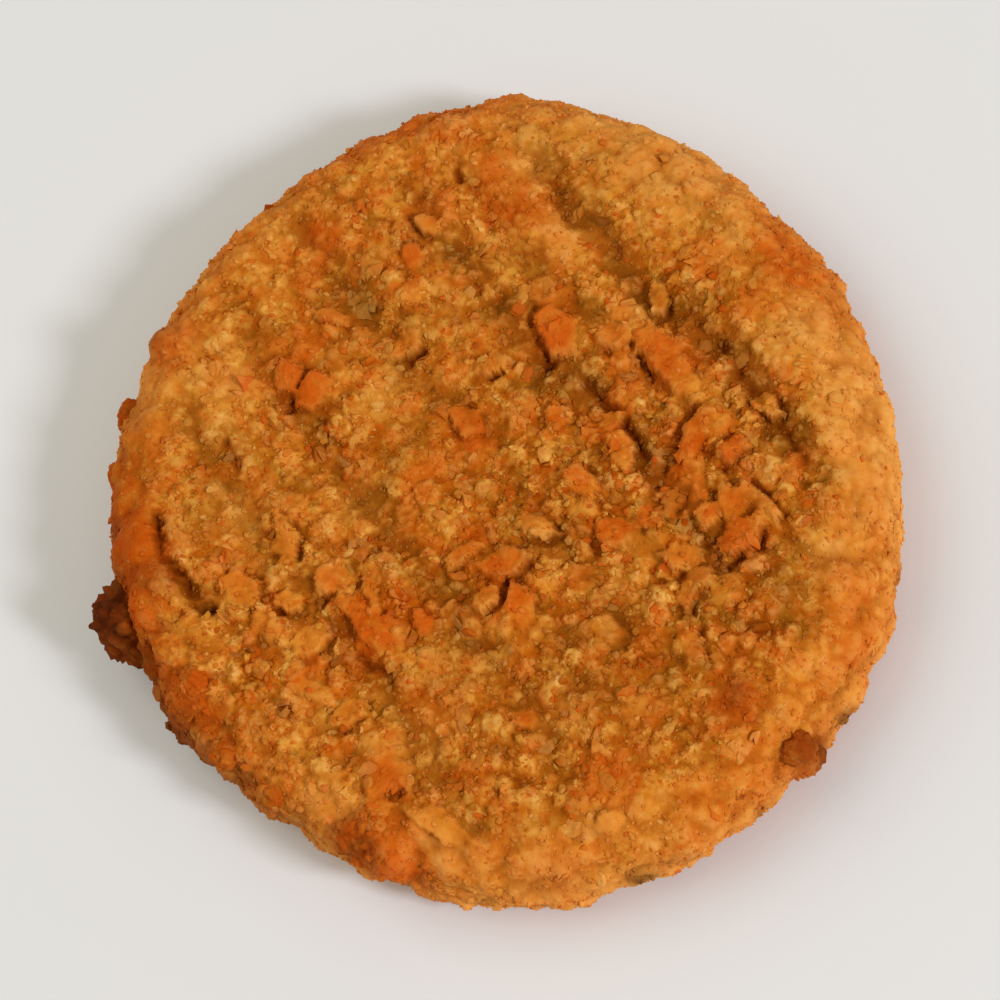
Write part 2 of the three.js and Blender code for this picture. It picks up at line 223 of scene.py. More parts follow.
# Lumps of crumbs, as on the solid: how many, radius and height, drawn from one seed
CRUMB_SEED = 20
CRUMB_LUMPS = [(600, 2.3, 0.45), (130, 3.2, 0.4), (30, 6.5, 0.5)]
RIM_CRAGS = (120, 1.9, 0.25)
CRUMB_SHIFT = 0.9
CRUMB_BED = 0.75
SPIRAL_STEP = np.pi * (3 - np.sqrt(5))
POINTS_AT_ONCE = 8192  # how many points are set against the bumps at once, to save memory

# Piles of broken crumbs: their size, a seed, and the share of the room that they fill. The first
# three cover the body, and the last two the balls of crust on the rim
PLATE_PILE = (4.4, 41, 0.4)
CRUMB_PILE = (2.1, 42, 0.8)
GRAIN_PILE = (1.1, 43, 0.95)
BALL_CRUMB_PILE = (1.9, 72, 0.8)
BALL_GRAIN_PILE = (0.9, 73, 0.95)

# Sides of the rim, by their middle and spread in degrees: the smooth lip, painted shade on the dark
# lower edge, painted shade on the shoulder above it, and the side whose crumbs stay coarse up to the
# edge, then with a strength each the golden sides, of which the one at -145 degrees is painted light on
# the side away from the main light, and the sides that are toasted along the edge
LIP = (-121, 17)
PAINTED_SHADE_LOW_EDGE = (-98, 22)
PAINTED_SHADE_UPPER_EDGE = (-84, 27)
ROUGH_SIDE = (-75, 36)
GOLDEN_AND_PAINTED_LIGHT_SIDES = [(60, 20, 1.0), (122, 20, 0.9), (-24, 12, 0.2), (-145, 13, 1.0)]
RED_SIDES = [
    (3, 24, 0.4),
    (30, 14, 0.6),
    (92, 16, 0.6),
    (164, 20, 0.8),
    (-92, 28, 1.0),
    (-47, 16, 0.6),
    (-26, 12, 0.4),
]

# Where the crust is coarse and flaky rather than fine: x, y, radius, strength
COARSE_PATCHES = [
    (13.0, 12.0, 17.0, 1.0),
    (4.0, -22.0, 12.0, 0.8),
    (22.0, -22.0, 9.0, 0.7),
    (-26.0, 6.0, 8.0, 0.5),
    (-18.0, -10.0, 7.0, 0.5),
]

# Patches of colour on the crust: x, y, radius, strength
RED_PATCHES = [
    (-22.5, 17.0, 3.0, 0.8),
    (-27.5, 17.5, 2.4, 0.7),
    (-34.0, 17.0, 5.0, 0.5),
    (-25.0, 6.0, 2.2, 0.6),
    (-33.0, 0.5, 2.6, 0.6),
    (-37.0, -7.0, 3.4, 0.4),
    (0.0, 36.0, 3.2, 0.9),
    (0.6, 20.7, 2.4, 0.9),
    (-9.0, 13.4, 2.4, 0.9),
    (-4.5, 1.0, 2.2, 0.7),
    (5.0, -4.8, 2.4, 0.8),
    (9.6, -4.6, 2.0, 0.7),
    (13.4, -5.4, 2.0, 0.6),
    (22.0, 16.4, 2.2, 0.8),
    (10.2, 18.0, 2.0, 0.7),
    (13.6, 20.2, 1.8, 0.6),
    (13.0, 6.4, 2.0, 0.6),
    (7.4, -17.6, 3.2, 0.9),
    (9.4, -13.6, 1.8, 0.8),
    (16.0, -18.2, 2.2, 0.6),
    (22.0, -25.0, 2.2, 0.6),
    (31.0, -16.6, 2.0, 0.6),
    (33.6, -7.0, 2.8, 1.0),
    (35.0, 6.8, 3.0, 1.0),
    (25.4, -29.2, 3.6, 1.0),
    (-20.0, -10.0, 2.6, 1.0),
    (-36.5, -16.5, 2.6, 0.6),
    (-32.5, -19.0, 2.8, 1.0),
    (-15.0, -33.5, 3.4, 1.0),
    (-12.0, -33.0, 3.2, 1.0),
    (31.0, 21.0, 2.2, 0.35),
    (43.6, 9.8, 2.2, 1.0),
]
BURNT_SPOTS = [
    (42.0, 9.2, 2.2, 0.4),
    (35.2, 7.0, 2.2, 0.35),
    (24.8, -29.4, 1.8, 0.8),
    (43.2, 10.6, 1.8, 0.7),
    (32.0, 26.1, 1.8, 0.4),
    (-33.8, -19.4, 1.8, 0.4),
    (-31.2, -27.1, 1.6, 0.3),
    (-25.4, -31.3, 1.6, 0.3),
    (-20.0, -34.2, 2.4, 0.5),
    (-10.5, -32.5, 2.2, 0.3),
    (8.0, -36.8, 1.6, 0.3),
    (14.4, -35.2, 1.6, 0.3),
    (43.6, -9.6, 0.8, 0.8),
    (45.0, -11.0, 1.2, 0.8),
    (45.0, 3.0, 1.0, 0.6),
    (43.0, 15.4, 1.2, 0.8),
]
# Olive-brown crust, partly painted shade where the patches lie in pits and dips
OLIVE_AND_PAINTED_SHADE_PATCHES = [
    (7.0, 26.0, 2.6, 0.6),
    (-1.5, 27.6, 2.0, 0.9),
    (0.0, 25.8, 2.6, 0.9),
    (15.0, 25.6, 2.4, 0.7),
    (-12.0, 22.0, 3.0, 0.5),
    (-1.0, 12.0, 2.4, 1.0),
    (-5.2, 9.8, 2.0, 0.9),
    (-12.5, 11.8, 2.4, 0.7),
    (10.0, 14.0, 2.4, 0.9),
    (14.5, 12.8, 2.2, 0.8),
    (19.4, 13.8, 2.0, 0.9),
    (24.4, 18.6, 2.2, 0.6),
    (25.0, -4.0, 4.2, 1.0),
    (10.0, -8.6, 3.0, 1.0),
    (30.5, 15.5, 4.0, 0.9),
    (30.5, -20.0, 2.6, 0.8),
    (6.8, -20.8, 2.4, 0.9),
    (25.6, -12.8, 2.4, 0.5),
    (37.0, 3.0, 2.6, 1.0),
    (-17.0, -12.2, 2.6, 0.9),
    (-24.0, -1.0, 3.2, 0.7),
    (-35.0, -1.4, 2.2, 0.6),
    (-4.0, -10.2, 3.2, 0.8),
    (-7.0, -29.6, 2.2, 0.8),
    (-28.0, -27.6, 2.4, 0.3),
    (19.5, -4.0, 3.0, 0.7),
    (-12.0, -16.0, 3.0, 0.4),
]
# Golden crust; the wide patches over the left half and the lower left rim are painted light, making
# those places paler
GOLDEN_AND_PAINTED_LIGHT_PATCHES = [
    (7.0, 31.0, 4.0, 1.0),
    (17.0, 32.6, 5.0, 1.0),
    (-16.0, 31.0, 5.0, 1.0),
    (-5.0, 31.2, 2.4, 0.8),
    (-11.0, 30.0, 3.0, 0.9),
    (5.8, 22.8, 1.6, 0.8),
    (17.4, 22.6, 2.6, 0.7),
    (28.0, 22.0, 2.6, 0.9),
    (-16.0, 19.8, 3.4, 1.0),
    (-26.0, 20.6, 4.0, 0.9),
    (-26.0, 10.0, 14.0, 0.3),
    (-21.0, 6.2, 2.0, 0.6),
    (12.0, 0.2, 2.0, 0.6),
    (29.6, -1.0, 1.8, 0.8),
    (37.4, 15.6, 2.4, 0.5),
    (-14.6, -3.6, 2.8, 0.8),
    (-30.0, -7.0, 2.2, 0.6),
    (-25.0, -17.0, 6.0, 0.7),
    (-31.0, -24.0, 4.0, 1.0),
    (-12.0, -21.5, 4.0, 0.8),
    (-5.0, -15.0, 2.2, 0.6),
    (14.0, -15.4, 2.4, 0.7),
    (38.0, -17.0, 3.0, 0.8),
    (4.0, -24.0, 2.2, 0.9),
    (-4.0, -31.0, 2.6, 0.4),
    (-14.0, -28.2, 2.0, 0.4),
    (17.4, -23.4, 1.8, 0.6),
    (30.0, -24.0, 3.4, 1.0),
    (20.0, -31.0, 3.6, 1.0),
    (-6.0, 20.0, 2.6, 0.9),
    (18.0, 4.0, 2.6, 0.8),
    (15.0, -12.0, 3.5, 0.5),
    (-6.0, -12.5, 3.0, 0.5),
    (38.2, -10.0, 2.0, 0.7),
    (-18.0, 26.0, 6.0, 0.5),
    (-36.0, -4.0, 5.0, 0.4),
    (-3.0, -20.5, 3.0, 0.5),
    (20.0, -19.0, 3.6, 0.6),
    (11.0, -27.5, 3.4, 0.6),
    (26.0, -8.0, 2.4, 0.5),
    (-4.0, 12.0, 2.2, 0.4),
]

# Camera: how high it looks down from, how it is rolled, how far it is and how wide it sees
VIEW_HEIGHT = 62
VIEW_ROLL = 35
VIEW_DISTANCE = 437
VIEW_WIDTH = 97.5
VIEW_MIDDLE_HEIGHT = 8.0
VIEW_SHIFT = (0.57, -1.73)  # how far the view's middle lies right of the oval's, and above it
SENSOR = 36


# The crust's material: the fields of colour that each piece carries, the sizes in millimetres and
# the details of its noises, from the pores of a crumb to clouds of the oven's heat, the sizes of
# its broken crumbs, the depth of its fine relief, and the ramp from dark to pale crumbs
FIELDS = "hollow crest toast flake olive rim golden side burn tone variety".split()
NOISE_SIZES = {
    "pore": (0.2, 2.0),
    "grain": (0.5, 3.0),
    "fleck": (1.4, 2.0),
    "clump": (2.6, 3.0),
    "dull": (4.5, 3.0),
    "blotch": (5.5, 3.0),
}
CELL_SIZES = {"small": 0.55, "large": 1.2}
RELIEF_DEPTH = 0.22
BROWNING = [
    (0.33, "#9A4604"),
    (0.44, "#C26C14"),
    (0.53, "#DA9030"),
    (0.63, "#EAAE56"),
    (0.8, "#F6CA88"),
]

# Lights: turn and height in degrees, distance and size in metres, power in watts, and colour
MAIN_LIGHT = dict(turn=31, height=33, distance=1.6, size=0.3, power=17.6, colour="#F0F1FF")
FILL_LIGHT = dict(turn=-138, height=50, distance=1.6, size=1.6, power=9.4, colour="#FFFCF8")
ROOM_LIGHT = dict(strength=0.47, colour="#FBFCEE")
FLOOR_HALF = 1.5  # half the floor's side, in metres


def smooth_step(low, high, value):
    """Rises smoothly from 0 to 1 while value goes from low to high."""
    share = np.clip((value - low) / (high - low), 0, 1)
    return share * share * (3 - 2 * share)


def mix(a, b, share):
    """Goes straight from a to b while share goes from 0 to 1."""
    return a + (b - a) * share


def bell(value):
    """A bell curve that is 1 at zero and falls off as e to the minus square."""
    return np.exp(-(value**2))


def turn_between(angle, degrees):
    """The turn from a direction in degrees to each angle, between minus and plus half a turn."""
    away = angle - np.radians(degrees)
    return np.arctan2(np.sin(away), np.cos(away))


def unit(vectors):
    """Vectors divided by their lengths."""
    return vectors / np.linalg.norm(vectors, axis=-1, keepdims=True)


def draw_numbers(seed, count):
    """The same random numbers as the solid's: each is the last one times a factor plus a step."""
    numbers = np.empty(count)
    state = seed
    for i in range(count):
        state = (state * 1664525 + 1013904223) % 4294967296
        numbers[i] = state / 4294967296
    return numbers


def outline_radius(angle):
    """Distance from the middle to the widest line: the mean radius plus a few cosine waves."""
    radius = np.full_like(angle, MEAN_RADIUS)
    for lobes, height, crest in OUTLINE_WAVES:
        radius += height * np.cos(lobes * (angle - np.radians(crest)))
    return radius


def smooth_skin(band, angle):
    """Points and normals of the skin without relief.

    The top is flat, both shoulders are quarters of an ellipse, and the base is flat again.
    """
    edge = outline_radius(angle)
    rise = THICKNESS - WIDEST_HEIGHT
    drop = WIDEST_HEIGHT - BASE_LIFT
    upper = np.clip(band - 1, 0, 1) * np.pi / 2
    lower = np.clip(band - 2, 0, 1) * np.pi / 2
    radius = np.clip(band, 0, 1) * (edge - UPPER_SHOULDER)
    radius += UPPER_SHOULDER * np.sin(upper) - LOWER_SHOULDER * (1 - np.cos(lower))
    radius *= np.clip(4 - band, 0, 1)
    height = WIDEST_HEIGHT + rise * np.cos(upper) - drop * np.sin(lower)
    outward = np.where(band < 2, rise * np.sin(upper), drop * np.cos(lower))
    upward = np.where(band < 2, UPPER_SHOULDER * np.cos(upper), -LOWER_SHOULDER * np.sin(lower))
    normals = np.stack([outward * np.cos(angle), outward * np.sin(angle), upward], -1)
    points = np.stack([radius * np.cos(angle), radius * np.sin(angle), height], -1)
    return points, unit(normals)


def skin_over(x, y):
    """The points and normals of the smooth skin over places of the plane."""
    angle = np.arctan2(y, x)
    radius = np.hypot(x, y)
    flat = outline_radius(angle) - UPPER_SHOULDER
    turn = np.arcsin(np.clip((radius - flat) / UPPER_SHOULDER, 0, 1))
    band = np.where(radius < flat, radius / flat, 1 + turn / (np.pi / 2))
    return smooth_skin(band, angle)


def spiral_bumps(kind, low_band, high_band, numbers):
    """Centres, radii and heights of bumps: even along a golden-angle spiral, then shifted."""
    count, radius, height = kind
    step = np.arange(count)
    band = np.sqrt(mix(low_band**2, high_band**2, (step + 0.5) / count))
    centres = smooth_skin(band, step * SPIRAL_STEP)[0]
    draws = numbers.reshape(count, 5)
    centres += (draws[:, :3] - 0.5) * 2 * CRUMB_SHIFT * radius
    return centres, radius * (0.75 + 0.5 * draws[:, 3]), height * (0.5 + draws[:, 4])


def crumb_layers():
    """The bumps of the solid's crust, one layer for each kind."""
    kinds = [(kind, 0, 2.4) for kind in CRUMB_LUMPS] + [(RIM_CRAGS, 1.5, 2.7)]
    ends = np.cumsum([5 * kind[0] for kind, low, high in kinds])
    draws = np.split(draw_numbers(CRUMB_SEED, ends[-1]), ends[:-1])
    layers = [spiral_bumps(*kind, numbers) for kind, numbers in zip(kinds, draws)]
    lumps = np.array(RIM_LUMPS)
    layers.append((skin_over(lumps[:, 0], lumps[:, 1])[0], lumps[:, 2], lumps[:, 3]))
    return layers


def bump_height(points, bumps):
    """The highest bump at each point: height times one minus distance squared over radius squared."""
    centres, radii, heights = bumps
    result = np.zeros(len(points))
    for part in np.array_split(np.arange(len(points)), 1 + len(points) // POINTS_AT_ONCE):
        near = points[part]
        apart = (near**2).sum(1)[:, None] + (centres**2).sum(1) - 2 * near @ centres.T
        result[part] = (heights * (1 - apart / radii**2)).max(1).clip(0)
    return result


def line_distance(x, y, corners):
    """The distance from places of the plane to a line with corners."""
    nearest = np.full(len(x), np.inf)
    for (x0, y0), (x1, y1) in zip(corners, corners[1:]):
        along_x, along_y = x1 - x0, y1 - y0
        share = ((x - x0) * along_x + (y - y0) * along_y) / (along_x**2 + along_y**2)
        share = share.clip(0, 1)
        nearest = np.minimum(nearest, np.hypot(x - x0 - share * along_x, y - y0 - share * along_y))
    return nearest


def groove_depth(x, y):
    """Rounded valleys along X whose middle line makes one smooth step to the side."""
    depth = np.zeros(len(x))
    for g in GROOVES:
        middle = g["y"] + g["step"] * np.tanh((x - g["step_at"]) / g["step_length"])
        started = smooth_step(g["start"] - GROOVE_FADE, g["start"] + GROOVE_FADE, x)
        unfinished = smooth_step(g["end"] + GROOVE_FADE, g["end"] - GROOVE_FADE, x)
        across = bell((y - middle) / GROOVE_HALF_WIDTH)
        depth = np.maximum(depth, g["depth"] * started * unfinished * across)
    return depth


def split_depth(x, y):
    """Thin splits: a bell curve across each line."""
    depth = np.zeros(len(x))
    for corners in SPLITS:
        depth = np.maximum(depth, bell(line_distance(x, y, corners) / SPLIT_HALF_WIDTH))
    return depth


def flake_relief(x, y, edge):
    """Flakes: leaning plates with a pit under the lifted side.

    Each is broken along six straight sides at random turns and distances, and edge noise moves them
    in and out. Gives their height, the depth of the pits, how much a point is on a flake, and how
    red it is.
    """
    rng = np.random.default_rng(FLAKE_SEED)
    height = np.zeros(len(x))
    pit = np.zeros(len(x))
    on_flake = np.zeros(len(x))
    red = np.zeros(len(x))
    for place_x, place_y, length, width, rise, turn, toast, lifted in FLAKES:
        cosine, sine = np.cos(np.radians(turn)), np.sin(np.radians(turn))
        along = ((x - place_x) * cosine + (y - place_y) * sine) / length
        across = ((y - place_y) * cosine - (x - place_x) * sine) / width
        sides = TAU * (np.arange(6) + rng.uniform(-0.35, 0.35, 6)) / 6
        distances = rng.uniform(0.75, 1.1, 6)
        reach = edge.copy()
        for side, distance in zip(sides, distances):
            reach = np.maximum(reach, (along * np.cos(side) + across * np.sin(side)) / distance + edge)
        toward = np.cos(turn_between(np.arctan2(y - place_y, x - place_x), lifted))
        inside = smooth_step(1.08, 0.9, reach)
        height = np.maximum(height, inside * rise * (0.85 + 0.5 * toward * reach.clip(0, 1)))
        pit = np.maximum(pit, rise * bell((reach - 1.25) / 0.28) * smooth_step(-0.1, 0.7, toward))
        on_flake = np.maximum(on_flake, inside)
        red = np.maximum(red, toast * inside * (1.2 - 0.75 * reach.clip(0, 1)))
    return height, pit * (1 - on_flake), on_flake, red


def hash_numbers(cells, seed, count):
    """Random numbers from 0 to 1 for whole-number cells, by mixing the bits of their places."""
    factors = np.array([73856093, 19349663, 83492791], np.uint64)
    mixed = (cells.astype(np.uint64) * factors).sum(-1) + np.uint64(seed * 2654435761 % 2**32)
    results = []
    for _ in range(count):
        mixed = (mixed ^ (mixed >> np.uint64(31))) * np.uint64(0x9E3779B97F4A7C15)
        mixed = mixed ^ (mixed >> np.uint64(29))
        results.append((mixed >> np.uint64(40)) / 2**24)
    return np.stack(results, -1)


def soft_noise(points, size, seed):
    """Noise from -1 to 1: random values at the corners of cubes of that size, smoothly blended."""
    scaled = points / size
    low = np.floor(scaled)
    share = smooth_step(0, 1, scaled - low)
    total = np.zeros(len(points))
    for corner in np.ndindex(2, 2, 2):
        weight = np.where(corner, share, 1 - share).prod(-1)
        value = hash_numbers((low + corner).astype(np.int64), seed, 1)[:, 0]
        total += weight * value
    return 2 * total - 1


def rough_noise(points, size, seed):
    """Three layers of soft noise, each half as large and half as strong as the last."""
    layers = [soft_noise(points, size / 2**i, seed + i) / 2**i for i in range(3)]
    return sum(layers) / 1.75


def crumb_pile(points, size, seed, share):
    """The top of a pile of broken crumbs of about that size.

    Space is split into cubes, and that share of them holds a crumb at a random place in it. A crumb
    is a cube with its corners cut off, turned at random, with a leaning top whose height fades
    steeply beyond its sides. The highest crumb shows. Gives its height from 0 to about 1 and its own
    random number.
    """
    scaled = points / size
    home = np.floor(scaled)
    height = np.zeros(len(points))
    tone = np.full(len(points), 0.35)
    for corner in np.ndindex(3, 3, 3):
        cell = home + corner - 1
        draws = hash_numbers(cell.astype(np.int64), seed, 10).T
        a, b, c = (scaled - cell).T - draws[:3]
        for turn in TAU * draws[3:5]:
            a, b = a * np.cos(turn) - b * np.sin(turn), a * np.sin(turn) + b * np.cos(turn)
            a, b, c = b, c, a
        sides = np.abs([a, b, c])
        reach = np.maximum(sides.max(0), 0.64 * sides.sum(0))
        top = 0.3 + 0.6 * draws[6] + 0.7 * a * draws[7]
        crumb = top - 5 * (reach - 0.28 - 0.26 * draws[5]).clip(0)
        shows = (crumb > height) & (draws[8] < share)
        height = np.where(shows, crumb, height)
        tone = np.where(shows, draws[9], tone)
    return height, tone


def patch_share(points, patches):
    """How strongly round patches act on a point: the strongest one's bell curve."""
    share = np.zeros(len(points))
    for x, y, radius, strength in patches:
        centre = skin_over(np.array([x]), np.array([y]))[0]
        apart = np.linalg.norm(points - centre, axis=1) / radius
        share = np.maximum(share, strength * bell(apart))
    return share


def coarse_share(points, angle, band):
    """How coarse the crust is, from 0 to 1: coarsest in the patches, fine round most of the rim."""
    share = 0.32 + 0.68 * patch_share(points, COARSE_PATCHES)
    fine = smooth_step(0.85, 1.3, band) * (1 - side_share(angle, ROUGH_SIDE))
    return share * (1 - 0.7 * fine)


def side_share(angle, side):
    """A bell curve round one side of the patty, from its middle and spread in degrees."""
    return bell(turn_between(angle, side[0]) / np.radians(side[1]))


def sides_share(angle, sides):
    """The strongest of several sides at each angle."""
    return np.max([strength * side_share(angle, side) for *side, strength in sides], axis=0)


def lip_share(angle, band):
    """The smooth lip of the rim."""
    return side_share(angle, LIP) * smooth_step(0.95, 1.2, band)


def rim_share(angle, band):
    """The rim without its lip, from just inside the top's edge to the lower shoulder."""
    return (1 - lip_share(angle, band)) * smooth_step(0.9, 1.4, band) * smooth_step(2.8, 2.3, band)


def golden_and_painted_light_share(points, angle, band):
    """How golden and even the crust is: on the rim's golden sides and in golden patches, part of them
    painted light.
    """
    rim = rim_share(angle, band) * (0.15 + sides_share(angle, GOLDEN_AND_PAINTED_LIGHT_SIDES))
    return (rim + patch_share(points, GOLDEN_AND_PAINTED_LIGHT_PATCHES)).clip(0, 1)


def hollow_share(height, triangles, rounds, depth):
    """How far each point lies below the mean height round it, as a share of a depth.

    The mean is made by taking the mean of each point's neighbours, over and over.
    """
    first, second = triangles.ravel(), np.roll(triangles, -1, axis=1).ravel()
    neighbours = np.bincount(first, minlength=len(height))
    mean = height
    for _ in range(rounds):
        mean = np.bincount(first, mean[second], len(height)) / neighbours
    return (mean - height) / depth


def crust_relief(points, angle, band, layers):
    """How far the crust stands out from the smooth skin, and what colours it there.

    The large forms are the solid's. Piles of broken crumbs in three sizes are added, plates, crumbs and
    grains, in a space that noise bends so that no edge is straight. Flakes, the lip and the golden
    crust, with the places painted light, have less of them. Gives the height, each crumb's own tone,
    how much of a flake or plate is there and how red it is, and how deep splits and grooves are.
    """
    x, y = points[:, 0], points[:, 1]
    on_top = smooth_step(1.6, 0.9, band)
    bend = np.stack([rough_noise(points, 1.6, 31 + 7 * axis) for axis in range(3)], -1)
    bent = points + 0.45 * bend
    smooth = (1 - 0.7 * lip_share(angle, band)) * (1 - 0.3 * golden_and_painted_light_share(points, angle, band))
    coarse = coarse_share(points, angle, band) * smooth

    sag = MIDDLE_SAG * smooth_step(1.1, 0.3, band)
    flake_x, flake_y = x + 0.3 * bend[:, 1], y + 0.3 * bend[:, 2]
    flakes, pits, on_flake, red = flake_relief(flake_x, flake_y, 0.28 * bend[:, 0])
    bent_x, bent_y = x + 0.6 * bend[:, 0], y + 0.6 * bend[:, 1]
    crack = bell(line_distance(bent_x, bent_y, CRACK) / CRACK_HALF_WIDTH) * (0.8 + 0.6 * bend[:, 2])
    crack *= smooth_step(2, 1.6, band)
    splits = on_top * split_depth(bent_x, bent_y) * (0.8 + 0.6 * bend[:, 2])
    lumps = sum(bump_height(points, bumps) for bumps in layers)
    uneven = 0.9 + 0.5 * rough_noise(points, 3.5, 36)
    grooves = on_top * groove_depth(x, y + 0.8 * bend[:, 1]) * uneven
    height = lumps - CRUMB_BED - sag - grooves + on_top * (flakes - 0.35 * pits)
    height -= CRACK_DEPTH * crack + SPLIT_DEPTH * splits

    plates, plate_tone = crumb_pile(bent, *PLATE_PILE)
    crumbs, crumb_tone = crumb_pile(bent, *CRUMB_PILE)
    grains, grain_tone = crumb_pile(bent, *GRAIN_PILE)
    bare = 1 - 0.45 * on_flake * on_top
    rises = (0.75 * coarse, 0.08 + 0.72 * coarse, 0.22 * smooth)
    for pile, rise in zip((plates, crumbs, grains), rises):
        height += bare * rise * (pile - pile.mean())
    tone = 0.5 * crumb_tone + 0.5 * grain_tone
    plate = smooth_step(0.1, 0.4, plates) * coarse * bare
    red = on_top * red + plate * smooth_step(0.35, 0.65, plate_tone)
    return dict(
        height=height,
        tone=mix(tone, 0.55, 0.6 * on_flake),
        flake=np.maximum(on_flake, plate),
        red=0.85 * red,
        splits=splits + crack,
        grooves=grooves,
    )


def disc_places(cells):
    """Band from 0 to 1 and angle of every crossing of a square grid bent into a disc.

    The ring is the larger of the two offsets from the middle, and the angle is a quarter turn
    shared out evenly along each side of the ring.
    """
    offset = np.arange(cells + 1) - cells / 2
    across, along = np.meshgrid(offset, offset)
    across, along = across.ravel(), along.ravel()
    ring = np.maximum(np.abs(across), np.abs(along))
    sideways = np.abs(across) > np.abs(along)
    safe_across = np.where(across == 0, 1, across)
    safe_along = np.where(along == 0, 1, along)
    beside = np.pi / 4 * along / safe_across + np.where(across > 0, 0, np.pi)
    above = np.pi / 2 - np.pi / 4 * across / safe_along + np.where(along > 0, 0, np.pi)
    angle = np.where(sideways, beside, above)
    return ring / (cells / 2), np.where(ring == 0, 0, angle)


def disc_triangles(cells):
    """Two triangles for each cell of the grid, with the diagonal that runs round the disc."""
    row, column = np.divmod(np.arange(cells * cells), cells)
    corner = row * (cells + 1) + column
    right, far, opposite = corner + 1, corner + cells + 1, corner + cells + 2
    slopes_up = (column < cells / 2) == (row < cells / 2)
    rising = np.stack([corner, right, opposite, corner, opposite, far], -1)
    falling = np.stack([corner, right, far, right, opposite, far], -1)
    return np.where(slopes_up[:, None], rising, falling).reshape(-1, 3)


def disc_border(cells):
    """The indices of the grid's crossings along its border, anticlockwise from above."""
    step = np.arange(cells)
    side = cells + 1
    return np.concatenate(
        [step, step * side + cells, cells * side + cells - step, (cells - step) * side]
    )


def ring_triangles(upper, lower):
    """Two triangles for each step between two rings with the same number of points."""
    next_upper, next_lower = np.roll(upper, -1), np.roll(lower, -1)
    pairs = np.stack([upper, lower, next_lower, upper, next_lower, next_upper], -1)
    return pairs.reshape(-1, 3)


def step_down_triangles(fine, coarse):
    """Triangles between a ring and one with fewer points, a whole number of times fewer."""
    ratio = len(fine) // len(coarse)
    spokes = np.arange(len(coarse))
    next_coarse = np.roll(coarse, -1)
    half = ratio // 2
    parts = []
    for i in range(ratio):
        a = fine[spokes * ratio + i]
        b = fine[(spokes * ratio + i + 1) % len(fine)]
        parts.append(np.stack([a, coarse if i < half else next_coarse, b], -1))
    parts.append(np.stack([fine[spokes * ratio + half], coarse, next_coarse], -1))
    return np.concatenate(parts)


def closed_grid(top_cells, top_share, lower_rings, base_cells):
    """Bands, angles and triangles of a closed skin: a disc on top, rings round it, a disc below."""
    top_band, top_angle = disc_places(top_cells)
    on_flat = top_band < top_share
    shoulder = 1 + (top_band - top_share) / (1 - top_share)
    border = disc_border(top_cells)
    bands, angles = [np.where(on_flat, top_band / top_share, shoulder)], [top_angle]
    triangles = [disc_triangles(top_cells)]
    upper = border
    total = len(top_band)
    for ring in range(1, lower_rings + 1):
        lower = total + np.arange(len(border))
        bands.append(np.full(len(border), 2 + ring / lower_rings))
        angles.append(top_angle[border])
        triangles.append(ring_triangles(upper, lower))
        upper = lower
        total += len(border)
    base_band, base_angle = disc_places(base_cells)
    bands.append(4 - 0.98 * base_band)
    angles.append(base_angle)
    triangles.append(step_down_triangles(upper, total + disc_border(base_cells)))
    triangles.append(total + disc_triangles(base_cells)[:, ::-1])
    return np.concatenate(bands), np.concatenate(angles), np.concatenate(triangles)


def point_normals(points, triangles):
    """The normal at each point: the mean of its triangles' normals, weighted by their area."""
    a, b, c = points[triangles].transpose(1, 0, 2)
    faces = np.cross(b - a, c - a)
    sums = [
        np.bincount(triangles.ravel(), np.repeat(faces[:, axis], 3), len(points)) for axis in range(3)
    ]
    return unit(np.stack(sums, -1))


